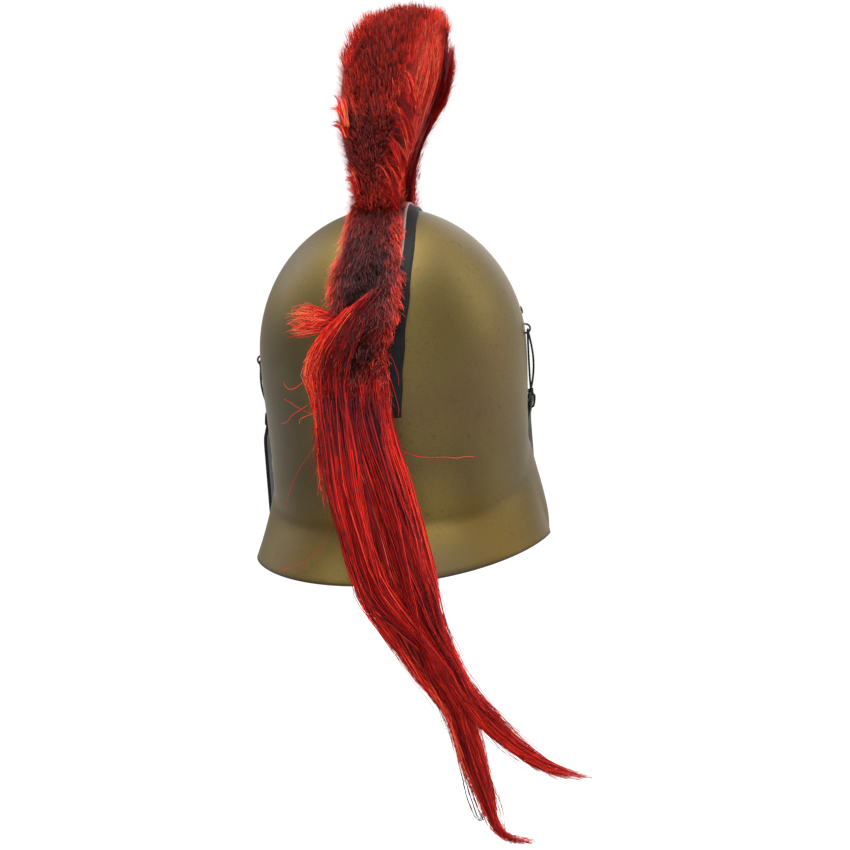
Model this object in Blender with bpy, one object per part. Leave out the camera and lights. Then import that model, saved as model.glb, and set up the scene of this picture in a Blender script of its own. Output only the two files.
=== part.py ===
# Open-faced bronze helmet with a red fur crest, a long hair tail and a chin strap.
# Metres, +Z up. The helmet faces +Y, and +X is the wearer's right.
# The origin is the top of the hollow, where the wearer's crown bears.
import math

import bmesh
import bpy
from mathutils import Vector

# The shell. Drops are measured down from the outside of the crown
SHELL_THICKNESS = 0.0014
HALF_WIDTH = 0.1066          # at the widest level
REAR_LENGTH = 0.127          # from the middle to the back of the bowl
FRONT_LENGTH = 0.120         # from the middle to the brow
DOME_HEIGHT = 0.1144         # from the crown down to the widest level
CROWN_SETBACK = 0.010        # how far the crown lies behind the middle
WAIST_DROP = 0.205
WAIST_HALF_WIDTH = 0.1028
NAPE_LENGTH = 0.115          # from the middle to the back of the waist
CREASE_SIDE_DROP = 0.211     # where the neck guard starts to flare, at the side
CREASE_REAR_DROP = 0.250     # and at the back
CREASE_POWER = 2.2
RIM_SIDE_DROP = 0.269
RIM_REAR_DROP = 0.299
RIM_POWER = 1.6
FLARE_SIDE = 0.014
FLARE_REAR = 0.030
FLARE_FRONT_GAIN = 1.3
FLARE_FRONT_LIMIT = -0.35    # the flare changes no further ahead of the side than this
SHELL_COLUMNS = 48
DOME_ROWS = 10
WALL_ROWS = 5
FLARE_ROWS = 5

# The crest band and the fur on it
CLEARANCE = 0.0003           # between pieces that touch
BAND_THICKNESS = 0.0025
BAND_HALF_WIDTH = 0.027
BAND_FRONT_DROP = 0.070
BAND_REAR_DROP = 0.168
BAND_STEPS = 32
BAND_COLUMNS = 6
HIDE_THICKNESS = 0.002
HIDE_HALF_WIDTH = 0.021
HIDE_START = 0.02            # shares of the way along the band
HIDE_END = 0.86
HIDE_STEPS = 28
HIDE_COLUMNS = 4
HAIR_HEIGHT = 0.160          # the longest hair of the crest
LOCK_RADIUS = 0.0125
LOCK_SIDES = 5
CREST_LEAN = 0.020           # how far the longest tips lean to the wearer's right
FUR_DEPTH = 0.011            # the fur that lies on the back of the bowl
FUR_LENGTH = 0.060
FUR_SINK = 0.02              # a lying lock starts this share of the way before its place
TUFT_LENGTH = 0.030
TUFT_PLACE = 0.765           # share of the way along the band
TUFT_ROOT = -0.9             # share of HIDE_HALF_WIDTH from the hide's middle
SEAT_HALF_WIDTH = 0.052      # the space under the fur that no hair enters
SEAT_DEPTH = 0.015
SEAT_STEPS = 36
SEAT_COLUMNS = 10

# The tail
TAIL_ROOT_DROP = 0.128
TAIL_LENGTH = 0.389          # straight down, from the root to the lowest tip
TAIL_SWEEP = 0.168           # sideways, from the root to the right tip
TAIL_ROOT_X = -0.011
TAIL_HALF_WIDTH = 0.031
TAIL_THICKNESS = 0.010
TAIL_STANDOFF = 0.012        # from the bowl to the middle of the hair
TAIL_LOCKS = 7
TAIL_LOCK_SPREAD = 0.86      # the outer locks' middles, as a share of the tail's half width
TAIL_LOCK_WIDTH = 0.26       # share of the tail's half width
TAIL_LOCK_DEPTH = 0.6        # share of TAIL_THICKNESS
TAIL_RIGHT_SIDE = 0.15       # locks beyond this share run into the right end
TAIL_END_SPREAD = 0.5        # how far the locks of one end stay apart
TIP_RADIUS = 0.001

# The side fittings
EYE_Y = 0.006
EYE_DROPS = {"left": 0.1156, "right": 0.1048}
EYE_RADIUS = 0.0036
EYE_WIRE_RADIUS = 0.0008
RIVET_Y = 0.024
RIVET_DROP = 0.090
RIVET_RADIUS = 0.0034
RIVET_HEIGHT = 0.0012

# The chin strap and its cords
CORD_RADIUS = 0.0009
CORD_SPREAD = 0.0030         # between the two strands at their widest
KNOT_RADIUS = 0.0031
KNOT_RISE = 0.0012           # from the strap's end up to the knot
CORD_TAIL = 0.014
STRAP_TOP_DROP = 0.160
STRAP_BOTTOM_DROP = 0.290
STRAP_BEND_DROP = 0.232      # where the sides turn into the chin
STRAP_BEND_POWER = 2.6
STRAP_TOP_Y = 0.028
STRAP_BOTTOM_Y = 0.066
STRAP_STANDOFF = 0.0045      # from the shell to the strap's middle, at its ends
STRAP_SWAY = 0.004           # the loose loop hangs a little to the wearer's left
STRAP_WIDTH = 0.020
STRAP_THICKNESS = 0.0026
STRAP_SIDE_STEPS = 5
STRAP_CHIN_STEPS = 14
STRAP_HOLE_RADIUS = 0.0022
STRAP_HOLE_DROP = 0.008      # from the strap's end to the hole

# Edge of the face opening seen from the side, from the corner of the neck guard
# past the temple to the brow: share of FRONT_LENGTH, share of RIM_SIDE_DROP
FACE_EDGE = (
    (-0.050, 1.030), (-0.010, 0.995), (0.140, 0.930), (0.225, 0.862), (0.255, 0.800),
    (0.275, 0.751), (0.308, 0.688), (0.358, 0.613), (0.450, 0.539), (0.583, 0.483),
    (0.750, 0.446), (0.920, 0.426), (1.150, 0.416),
)

# Where the band and the hide run: share of the way along the band from front to rear,
# shift to the wearer's right as a share of the piece's half width
BAND_LINE = (
    (0.00, 0.00), (0.33, 0.04), (0.48, 0.24), (0.61, 0.28), (0.73, 0.19), (0.84, 0.00),
    (0.92, -0.15), (1.00, -0.28),
)
HIDE_LINE = (
    (0.00, 0.00), (0.33, -0.07), (0.61, 0.10), (0.75, -0.10), (0.84, -0.50), (1.00, -0.75),
)
SEAT_LINE = ((0.00, 0.00), (0.61, 0.00), (1.00, -0.20))

# Upright locks of the crest, front to rear: share of the way along the band,
# hair height share, tilt from upright in degrees (forward is positive), lean share
CREST_ROWS = (
    (0.040, 0.46, 56, 0.15), (0.120, 0.68, 40, 0.40), (0.200, 0.86, 26, 0.70),
    (0.280, 0.97, 14, 0.95), (0.360, 1.00, 5, 1.00), (0.430, 0.97, -2, 0.80),
    (0.490, 0.86, -9, 0.50), (0.545, 0.62, -19, 0.25),
)
# The solid middle of the upright hair from root to tip: share of the hair's height,
# share of HIDE_HALF_WIDTH
CREST_CORE = ((0.00, 0.72), (0.35, 0.95), (0.65, 1.05), (0.86, 0.95), (0.94, 0.60))
# Each station's locks across the hide: share of its half width at the root and at the tip,
# share of the station's height
CREST_ACROSS = ((-0.50, -0.66, 0.97), (0.50, 0.70, 1.0))
# One upright lock from root to tip: share of its radius across and along the crest
CREST_LOCK = ((0.80, 0.6), (1.00, 1.2), (1.08, 1.6), (1.00, 1.7), (0.70, 1.2))

# Locks that lie down the back: share of the way along the band where they start
FUR_ROWS = (0.565, 0.635, 0.705, 0.765)
# Their places across the hide: share of its half width at the root and at the tip
FUR_ACROSS = ((-0.85, -1.35), (-0.05, -0.20), (0.70, 0.78))
# One lying lock from root to tip: share of LOCK_RADIUS, share of FUR_DEPTH, and the height
# of its middle as a share of FUR_DEPTH
FUR_LOCK = ((0.80, 0.55, 0.10), (1.15, 0.95, 0.25), (1.10, 1.00, 0.35), (0.40, 0.50, 0.55))
# The side tuft from root to tip: share of TUFT_LENGTH, share of LOCK_RADIUS
SIDE_TUFT = ((0.00, 0.75), (0.40, 0.60), (0.75, 0.40), (1.00, 0.12))

# The tail's trunk, then its two ends: share of TAIL_LENGTH, share of TAIL_SWEEP,
# share of TAIL_HALF_WIDTH, share of the way out to the neck guard's rim
TAIL_TRUNK = (
    (0.000, -0.012, 1.06, 0.00), (0.062, 0.000, 0.97, 0.10), (0.270, 0.060, 1.10, 0.60),
    (0.437, 0.146, 1.10, 1.00), (0.532, 0.180, 0.80, 1.00), (0.614, 0.250, 0.64, 1.00),
    (0.690, 0.345, 0.52, 1.00), (0.776, 0.458, 0.46, 1.00),
)
TAIL_RIGHT_END = (
    (0.817, 0.622, 0.22, 1.0), (0.853, 0.810, 0.12, 1.0), (0.871, 1.000, 0.02, 1.0),
)
TAIL_LEFT_END = (
    (0.839, 0.473, 0.26, 1.0), (0.900, 0.488, 0.18, 1.0), (0.953, 0.527, 0.10, 1.0),
    (1.000, 0.688, 0.02, 1.0),
)
# The bound head of the tail, with its thickness as a share of TAIL_THICKNESS in the last column
TAIL_HEAD = (
    (-0.030, -0.012, 1.06, 0.00, 1.0), (0.000, -0.012, 1.06, 0.00, 1.0),
    (0.062, 0.000, 0.95, 0.10, 0.9), (0.130, 0.022, 0.70, 0.28, 0.4),
)

SIDES = {"left": -1, "right": 1}


def clear_scene():
    for old in list(bpy.data.objects):
        bpy.data.objects.remove(old, do_unlink=True)


def material(name, colour, roughness, metallic=0.0):
    made = bpy.data.materials.new(name)
    made.use_nodes = True
    shader = made.node_tree.nodes["Principled BSDF"]
    shader.inputs["Base Color"].default_value = (*colour, 1)
    shader.inputs["Roughness"].default_value = roughness
    shader.inputs["Metallic"].default_value = metallic
    return made


def mesh_object(name, bm, finish, smooth=True):
    mesh = bpy.data.meshes.new(name)
    if all(edge.is_manifold for edge in bm.edges):
        bmesh.ops.recalc_face_normals(bm, faces=bm.faces)
    bm.to_mesh(mesh)
    bm.free()
    made = bpy.data.objects.new(name, mesh)
    bpy.context.scene.collection.objects.link(made)
    if smooth:
        mesh.shade_smooth()
        mesh.set_sharp_from_angle(angle=math.radians(40))
    mesh.materials.append(finish)
    return made


def boolean(target, operation, operand, crossing=False):
    """crossing: the target is made of pieces that run through each other."""
    operand.hide_render = True
    operand.display_type = "WIRE"
    cut = target.modifiers.new(operation.title(), "BOOLEAN")
    cut.operation = operation
    cut.object = operand
    cut.solver = "EXACT"
    cut.use_self = crossing or operation == "UNION"


def ease(share):
    share = min(1.0, max(0.0, share))
    return share * share * (3 - 2 * share)


def smooth_rows(rows, steps):
    """Points of a smooth curve through rows of numbers."""
    ends = [rows[0], *rows, rows[-1]]
    curve = []
    for before, start, end, after in zip(ends, ends[1:], ends[2:], ends[3:]):
        for step in range(steps):
            t = step / steps
            curve.append(tuple(
                0.5 * (2 * b + (c - a) * t + (2 * a - 5 * b + 4 * c - d) * t * t
                       + (3 * b - a - 3 * c + d) * t ** 3)
                for a, b, c, d in zip(before, start, end, after)))
    return curve + [tuple(rows[-1])]


def between(rows, share):
    """The second number of a table's rows at a place between their first numbers."""
    for (start, first), (end, second) in zip(rows, rows[1:]):
        if share <= end:
            return first + (second - first) * ease((share - start) / (end - start))
    return rows[-1][1]


# The shell's surface

def wall_axes(drop):
    """Half width, rear length and front length of the wall's section at a drop."""
    neck = ease((drop - DOME_HEIGHT) / (WAIST_DROP - DOME_HEIGHT))
    side = HALF_WIDTH + (WAIST_HALF_WIDTH - HALF_WIDTH) * neck
    rear = REAR_LENGTH + (NAPE_LENGTH - REAR_LENGTH) * neck
    return side, rear, FRONT_LENGTH


def crown_share(drop):
    """1 at the crown and 0 from the widest level down."""
    return max(0.0, (DOME_HEIGHT - drop) / DOME_HEIGHT)


def crease_drop(back):
    turn = 1 - (1 - max(back, FLARE_FRONT_LIMIT)) ** CREASE_POWER
    return CREASE_SIDE_DROP + (CREASE_REAR_DROP - CREASE_SIDE_DROP) * turn


def rim_drop(back):
    return RIM_SIDE_DROP + (RIM_REAR_DROP - RIM_SIDE_DROP) * max(0.0, back) ** RIM_POWER


def flare(back, drop):
    """How far the neck guard stands out. back is 1 at the rear and 0 at the side."""
    share = max(0.0, (drop - crease_drop(back)) / (rim_drop(back) - crease_drop(back)))
    if back < 0:
        reach = FLARE_SIDE * (1 - FLARE_FRONT_GAIN * max(back, FLARE_FRONT_LIMIT))
    else:
        reach = FLARE_SIDE + (FLARE_REAR - FLARE_SIDE) * back
    return reach * share ** 1.25 * (1.2 - 0.2 * share)


def shell_point(angle, drop):
    """A point of the outer face. The angle is 0 at the front, a quarter turn at +X."""
    side, rear, front = wall_axes(drop)
    length = front if math.cos(angle) > 0 else rear
    crown = crown_share(drop)
    bulge = math.sqrt(1 - crown * crown)
    x, y = side * bulge * math.sin(angle), length * bulge * math.cos(angle)
    outward = Vector((math.sin(angle) / side, math.cos(angle) / length, 0)).normalized()
    outward *= flare(-math.cos(angle), drop)
    return Vector((x, y - CROWN_SETBACK * crown ** 2, SHELL_THICKNESS - drop)) + outward


def shell_surface():
    """The outer face as a mesh, from the crown down to the rim."""
    bm = bmesh.new()
    angles = [2 * math.pi * column / SHELL_COLUMNS for column in range(SHELL_COLUMNS)]
    crown = bm.verts.new((0, -CROWN_SETBACK, SHELL_THICKNESS))
    rows = []
    for row in range(1, DOME_ROWS + 1):
        drop = DOME_HEIGHT * (1 - math.cos(math.pi / 2 * row / DOME_ROWS))
        rows.append([drop] * SHELL_COLUMNS)
    for row in range(1, WALL_ROWS + 1):
        rows.append([DOME_HEIGHT + (crease_drop(-math.cos(angle)) - DOME_HEIGHT) * row / WALL_ROWS
                     for angle in angles])
    for row in range(1, FLARE_ROWS + 1):
        share = row / FLARE_ROWS
        rows.append([crease_drop(-math.cos(angle)) * (1 - share)
                     + rim_drop(-math.cos(angle)) * share for angle in angles])
    rings = [[bm.verts.new(shell_point(angle, drop)) for angle, drop in zip(angles, row)]
             for row in rows]
    for column in range(SHELL_COLUMNS):
        following = (column + 1) % SHELL_COLUMNS
        bm.faces.new((crown, rings[0][following], rings[0][column]))
        for upper, lower in zip(rings, rings[1:]):
            bm.faces.new((upper[column], upper[following], lower[following], lower[column]))
    return bm


def prism(outline, half_depth):
    """A solid with an outline in Y and Z, as thick as twice half_depth across X."""
    bm = bmesh.new()
    near, far = [[bm.verts.new((x, y, z)) for y, z in outline] for x in (-half_depth, half_depth)]
    bm.faces.new(near)
    bm.faces.new(far)
    for k in range(len(outline)):
        bm.faces.new((near[k - 1], near[k], far[k], far[k - 1]))
    return bm


def make_shell(finish):
    shell = mesh_object("helmet_shell", shell_surface(), finish)
    wall = shell.modifiers.new("Wall", "SOLIDIFY")
    wall.thickness = SHELL_THICKNESS
    wall.offset = -1
    edge = [(FRONT_LENGTH * forward, SHELL_THICKNESS - RIM_SIDE_DROP * down)
            for forward, down in smooth_rows(FACE_EDGE, 3)]
    floor = SHELL_THICKNESS - 1.2 * RIM_REAR_DROP
    far = 1.3 * FRONT_LENGTH
    outline = edge + [(far, edge[-1][1]), (far, floor), (edge[0][0], floor)]
    opening = mesh_object("face_opening", prism(outline, 1.5 * HALF_WIDTH), finish)
    boolean(shell, "DIFFERENCE", opening)
    return shell


# The line on which the band and the fur run

def band_path():
    """Points along the middle of the shell's outer face, from front to rear, with lengths."""
    start = math.acos(1 - BAND_FRONT_DROP / DOME_HEIGHT)
    points = []
    for step in range(60):
        drop = DOME_HEIGHT * (1 - math.cos(start * (1 - step / 60)))
        points.append(shell_point(0, drop))
    for step in range(90):
        drop = DOME_HEIGHT * (1 - math.cos(math.pi / 2 * step / 90))
        points.append(shell_point(math.pi, drop))
    for step in range(31):
        drop = DOME_HEIGHT + (BAND_REAR_DROP - DOME_HEIGHT) * step / 30
        points.append(shell_point(math.pi, drop))
    lengths = [0.0]
    for one, two in zip(points, points[1:]):
        lengths.append(lengths[-1] + (two - one).length)
    return points, lengths


def path_place(path, share):
    """The path's point at a share of its length, and the direction out of the shell there."""
    points, lengths = path
    target = share * lengths[-1]
    index = max(1, sum(1 for length in lengths[:-1] if length < target))
    before, after = lengths[index - 1], lengths[index]
    point = points[index - 1].lerp(points[index], (target - before) / (after - before))
    near, far = points[max(0, index - 3)], points[min(len(points) - 1, index + 2)]
    along = (far - near).normalized()
    return point, Vector((0, along.z, -along.y))


def shell_level(point):
    """Less than 1 inside the shell's outer face and more outside it."""
    drop = SHELL_THICKNESS - point.z
    side, rear, front = wall_axes(drop)
    crown = crown_share(drop)
    y = point.y + CROWN_SETBACK * crown ** 2
    length = front if y > 0 else rear
    normal = Vector((point.x / side ** 2, y / length ** 2, crown / DOME_HEIGHT))
    return (point.x / side) ** 2 + (y / length) ** 2 + crown ** 2, normal.normalized()


def on_shell(path, share, x, lift):
    """The point lift above the shell, x to the wearer's right of the middle."""
    middle, outward = path_place(path, share)
    start = middle + Vector((x, 0, 0))
    inner, outer = HALF_WIDTH / 2, 0.0
    for _ in range(30):
        depth = (inner + outer) / 2
        if shell_level(start - outward * depth)[0] > 1:
            outer = depth
        else:
            inner = depth
    found = start - outward * outer
    return found + shell_level(found)[1] * lift


def strip(path, start, end, line, half_width, lift, thickness, steps, columns):
    """A solid strip that lies on the shell between two shares of the way."""
    bm = bmesh.new()
    grids = []
    for height in (lift, lift + thickness):
        grids.append([])
        for step in range(steps + 1):
            share = start + (end - start) * step / steps
            row = []
            for column in range(columns + 1):
                across = between(line, share) + 2 * column / columns - 1
                row.append(bm.verts.new(on_shell(path, share, across * half_width, height)))
            grids[-1].append(row)
    under, over = grids
    for grid in grids:
        for near, far in zip(grid, grid[1:]):
            for k in range(columns):
                bm.faces.new((near[k], near[k + 1], far[k + 1], far[k]))
    for low, high in zip(zip(under, under[1:]), zip(over, over[1:])):
        for k in (0, columns):
            bm.faces.new((low[0][k], low[1][k], high[1][k], high[0][k]))
    for row in (0, steps):
        for k in range(columns):
            bm.faces.new((under[row][k], under[row][k + 1], over[row][k + 1], over[row][k]))
    return bm


def skin(bm, rings, closed=False):
    """Faces between rings of as many points each, with both ends capped unless closed."""
    pairs = list(zip(rings, rings[1:]))
    if closed:
        pairs.append((rings[-1], rings[0]))
    else:
        bm.faces.new(rings[0])
        bm.faces.new(rings[-1])
    for one, two in pairs:
        for k in range(len(one)):
            bm.faces.new((one[k - 1], one[k], two[k], two[k - 1]))


def add_tube(bm, centres, widths, depths, across, sides=6, closed=False):
    """A tube through the centres, flat or round, with its width towards the across direction."""
    rings = []
    count = len(centres)
    for index, centre in enumerate(centres):
        before = centres[index - 1] if closed or index else centre
        after = centres[(index + 1) % count] if closed or index + 1 < count else centre
        along = (after - before).normalized()
        wide = (across - along * across.dot(along)).normalized()
        deep = along.cross(wide)
        ring = []
        for side in range(sides):
            angle = 2 * math.pi * (side + 0.5) / sides
            ring.append(bm.verts.new(centre + wide * widths[index] * math.cos(angle)
                                     + deep * depths[index] * math.sin(angle)))
        rings.append(ring)
    skin(bm, rings, closed)


def block(x, y, top, bottom):
    """A box from -x to x and -y to y, between two drops."""
    bm = bmesh.new()
    bmesh.ops.create_cube(bm, size=1)
    for vert in bm.verts:
        vert.co.x *= 2 * x
        vert.co.y *= 2 * y
        vert.co.z = SHELL_THICKNESS - (top if vert.co.z > 0 else bottom)
    return bm


# The crest and the tail

def make_band(path, finish):
    return mesh_object("crest_band", strip(
        path, 0, 1, BAND_LINE, BAND_HALF_WIDTH, CLEARANCE, BAND_THICKNESS,
        BAND_STEPS, BAND_COLUMNS), finish)


def crest_stations(steps):
    """The upright hair from front to rear: share of the way, shift from the middle,
    direction, height and lean."""
    stations = []
    for share, height, tilt, lean in smooth_rows(CREST_ROWS, steps):
        turn = math.radians(tilt)
        stations.append((share, between(HIDE_LINE, share) * HIDE_HALF_WIDTH,
                         Vector((0, math.sin(turn), math.cos(turn))),
                         HAIR_HEIGHT * height, CREST_LEAN * lean))
    return stations


def crest_core(path, lift):
    """The solid middle of the upright hair, one slab from front to rear."""
    bm = bmesh.new()
    rings = []
    for share, shift, upward, height, lean in crest_stations(2):
        root = on_shell(path, share, shift, lift)
        left, right = [], []
        for way, width in CREST_CORE:
            centre = root + upward * height * way + Vector((lean * way ** 2, 0, 0))
            reach = Vector((HIDE_HALF_WIDTH * width, 0, 0))
            left.append(bm.verts.new(centre - reach))
            right.append(bm.verts.new(centre + reach))
        rings.append(left + right[::-1])
    skin(bm, rings)
    return bm


def upright_locks(bm, path, lift):
    for share, shift, upward, height, lean in crest_stations(1):
        for root_share, tip_share, height_share in CREST_ACROSS:
            root = on_shell(path, share, shift + root_share * HIDE_HALF_WIDTH, lift)
            spread = (tip_share - root_share) * HIDE_HALF_WIDTH
            centres, widths, depths = [], [], []
            for step, (width, depth) in enumerate(CREST_LOCK):
                way = step / (len(CREST_LOCK) - 1)
                aside = Vector((spread * way + lean * way ** 2, 0, 0))
                centres.append(root + upward * height * height_share * way + aside)
                widths.append(LOCK_RADIUS * width)
                depths.append(LOCK_RADIUS * (1 + (depth - 1) * height / HAIR_HEIGHT))
            add_tube(bm, centres, widths, depths, Vector((1, 0, 0)), LOCK_SIDES)


def lying_locks(bm, path, lift):
    total = path[1][-1]
    for start in FUR_ROWS:
        for root_share, tip_share in FUR_ACROSS:
            centres, widths, depths = [], [], []
            for step, (width, depth, height) in enumerate(FUR_LOCK):
                way = step / (len(FUR_LOCK) - 1)
                share = min(1.0, start - FUR_SINK + way * FUR_LENGTH / total)
                across = between(HIDE_LINE, share) + root_share * (1 - way) + tip_share * way
                centres.append(on_shell(
                    path, share, HIDE_HALF_WIDTH * across, lift + FUR_DEPTH * height))
                widths.append(LOCK_RADIUS * width)
                depths.append(FUR_DEPTH * depth)
            add_tube(bm, centres, widths, depths, Vector((1, 0, 0)), LOCK_SIDES)


def side_tuft(bm, path, lift):
    """The tuft that stands out to the wearer's left, low on the back."""
    root = HIDE_HALF_WIDTH * (between(HIDE_LINE, TUFT_PLACE) + TUFT_ROOT)
    centres = [on_shell(path, TUFT_PLACE, root - TUFT_LENGTH * way, lift + FUR_DEPTH * (0.5 + way))
               for way, _ in SIDE_TUFT]
    radii = [LOCK_RADIUS * width for _, width in SIDE_TUFT]
    add_tube(bm, centres, radii, radii, Vector((0, 0, 1)), LOCK_SIDES)


def make_crest(path, keep_out, finish):
    lift = 2 * CLEARANCE + BAND_THICKNESS
    middle = lift + HIDE_THICKNESS / 2
    fur = mesh_object("crest_fur", strip(
        path, HIDE_START, HIDE_END, HIDE_LINE, HIDE_HALF_WIDTH, lift, HIDE_THICKNESS,
        HIDE_STEPS, HIDE_COLUMNS), finish, False)
    boolean(fur, "UNION", mesh_object("crest_core", crest_core(path, middle), finish, False))
    locks = bmesh.new()
    upright_locks(locks, path, middle)
    lying_locks(locks, path, lift)
    side_tuft(locks, path, lift)
    locks = mesh_object("crest_locks", locks, finish, False)
    boolean(locks, "DIFFERENCE", keep_out, True)
    boolean(fur, "UNION", locks)
    below = block(HALF_WIDTH, 2 * REAR_LENGTH, TAIL_ROOT_DROP, RIM_REAR_DROP)
    boolean(fur, "DIFFERENCE", mesh_object("below_the_crest", below, finish, False))
    return fur


def tail_point(row, across):
    drop_share, sweep_share, width_share, out_share = row
    bowl = REAR_LENGTH + TAIL_STANDOFF
    rim = NAPE_LENGTH + FLARE_REAR + TAIL_STANDOFF
    x = TAIL_ROOT_X + TAIL_SWEEP * sweep_share + TAIL_HALF_WIDTH * width_share * across
    y = -(bowl + (rim - bowl) * out_share)
    return Vector((x, y, SHELL_THICKNESS - TAIL_ROOT_DROP - TAIL_LENGTH * drop_share))


def make_tail(keep_out, finish):
    head = bmesh.new()
    add_tube(head, [tail_point(row[:4], 0) for row in TAIL_HEAD],
             [TAIL_HALF_WIDTH * row[2] for row in TAIL_HEAD],
             [TAIL_THICKNESS * row[4] for row in TAIL_HEAD], Vector((1, 0, 0)), 12)
    tail = mesh_object("tail_plume", head, finish, False)
    locks = bmesh.new()
    for lock in range(TAIL_LOCKS):
        across = 2 * lock / (TAIL_LOCKS - 1) - 1
        end = TAIL_RIGHT_END if across > TAIL_RIGHT_SIDE else TAIL_LEFT_END
        rows = smooth_rows([TAIL_HEAD[0][:4], *TAIL_TRUNK, *end], 2)
        rows = rows[:len(rows) - 2 * (lock % 3)]
        centres, widths, depths = [], [], []
        for index, row in enumerate(rows):
            spread = TAIL_LOCK_SPREAD
            if row[0] > TAIL_TRUNK[-1][0]:
                spread *= TAIL_END_SPREAD
            centres.append(tail_point(row, across * spread))
            fade = min(1.0, (len(rows) - index) / 5)
            width = TAIL_HALF_WIDTH * row[2] * TAIL_LOCK_WIDTH
            depth = TAIL_THICKNESS * min(1.0, 0.3 + row[2]) * TAIL_LOCK_DEPTH
            widths.append(max(TIP_RADIUS, width) * fade)
            depths.append(max(TIP_RADIUS, depth) * fade)
        add_tube(locks, centres, widths, depths, Vector((1, 0, 0.5)), LOCK_SIDES)
    boolean(tail, "UNION", mesh_object("tail_locks", locks, finish, False))
    boolean(tail, "DIFFERENCE", keep_out)
    above = block(HALF_WIDTH, 2 * REAR_LENGTH, 0, TAIL_ROOT_DROP + CLEARANCE)
    boolean(tail, "DIFFERENCE", mesh_object("above_the_tail", above, finish, False))
    return tail


# The side fittings

def side_place(sign, y, drop):
    """The point on the shell's side at a distance forward and a drop, and its outward normal."""
    side, _, front = wall_axes(drop)
    crown = crown_share(drop)
    x = side * math.sqrt(1 - crown ** 2 - (y / front) ** 2)
    point = Vector((sign * x, y, SHELL_THICKNESS - drop))
    return point, shell_level(point)[1]


def make_eye(side, sign, finish):
    """A wire eye: half a ring that stands out from the shell."""
    point, _ = side_place(sign, EYE_Y, EYE_DROPS[side])
    foot = CLEARANCE
    bends = [(foot, EYE_RADIUS)]
    for step in range(9):
        angle = math.pi * (0.5 - step / 8)
        bends.append((foot + EYE_WIRE_RADIUS + EYE_RADIUS * math.cos(angle),
                      EYE_RADIUS * math.sin(angle)))
    bends.append((foot, -EYE_RADIUS))
    centres = [point + Vector((sign * out, 0, up)) for out, up in bends]
    wire = [EYE_WIRE_RADIUS] * len(centres)
    bm = bmesh.new()
    add_tube(bm, centres, wire, wire, Vector((0, 1, 0)))
    return mesh_object(f"side_eye_{side}", bm, finish)


def make_rivet(side, sign, finish):
    point, outward = side_place(sign, RIVET_Y, RIVET_DROP)
    bm = bmesh.new()
    centres, radii = [], []
    for height, radius in ((0, 1), (0.35, 0.97), (0.7, 0.8), (1, 0.4)):
        centres.append(point + outward * (CLEARANCE + RIVET_HEIGHT * height))
        radii.append(RIVET_RADIUS * radius)
    add_tube(bm, centres, radii, radii, Vector((0, 0, 1)), 12)
    return mesh_object(f"side_rivet_{side}", bm, finish)


# The chin strap

def strap_span():
    """From the middle to the strap's centre line at its ends."""
    return side_place(1, STRAP_TOP_Y, STRAP_TOP_DROP)[0].x + STRAP_STANDOFF


def strap_rows():
    """The strap's middle line on the wearer's right: distance from the middle, drop."""
    span, power = strap_span(), 2 / STRAP_BEND_POWER
    side = STRAP_BEND_DROP - STRAP_TOP_DROP
    chin = STRAP_BOTTOM_DROP - STRAP_BEND_DROP
    rows = [(span, STRAP_TOP_DROP + side * step / STRAP_SIDE_STEPS)
            for step in range(STRAP_SIDE_STEPS)]
    for step in range(STRAP_CHIN_STEPS + 1):
        angle = math.pi / 2 * step / STRAP_CHIN_STEPS
        rows.append((span * abs(math.cos(angle)) ** power,
                     STRAP_BEND_DROP + chin * math.sin(angle) ** power))
    return rows


def strap_point(x, drop):
    down = (drop - STRAP_TOP_DROP) / (STRAP_BOTTOM_DROP - STRAP_TOP_DROP)
    y = STRAP_TOP_Y + (STRAP_BOTTOM_Y - STRAP_TOP_Y) * down
    return Vector((x - STRAP_SWAY * down, y, SHELL_THICKNESS - drop))


def make_strap(finish):
    half = strap_rows()
    line = [strap_point(x, drop) for x, drop in half]
    line += [strap_point(-x, drop) for x, drop in reversed(half[:-1])]
    slope = strap_point(0, STRAP_BOTTOM_DROP) - strap_point(0, STRAP_TOP_DROP)
    across = Vector((1, 0, 0)).cross(slope).normalized()
    bm = bmesh.new()
    rings = []
    for index, point in enumerate(line):
        along = line[min(index + 1, len(line) - 1)] - line[max(index - 1, 0)]
        along.normalize()
        wide = (across - along * across.dot(along)).normalized() * STRAP_WIDTH / 2
        deep = along.cross(wide).normalized() * STRAP_THICKNESS / 2
        rings.append([bm.verts.new(point + wide * a + deep * b)
                      for a, b in ((1, 1), (-1, 1), (-1, -1), (1, -1))])
    skin(bm, rings)
    strap = mesh_object("chin_strap", bm, finish)
    for side, sign in SIDES.items():
        centre = strap_point(sign * strap_span(), STRAP_TOP_DROP + STRAP_HOLE_DROP)
        reach = Vector((3 * STRAP_THICKNESS, 0, 0))
        radii = [STRAP_HOLE_RADIUS] * 2
        pin = bmesh.new()
        add_tube(pin, [centre - reach, centre + reach], radii, radii, Vector((0, 1, 0)), 12)
        boolean(strap, "DIFFERENCE", mesh_object(f"strap_hole_{side}", pin, finish))
    return strap


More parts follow.
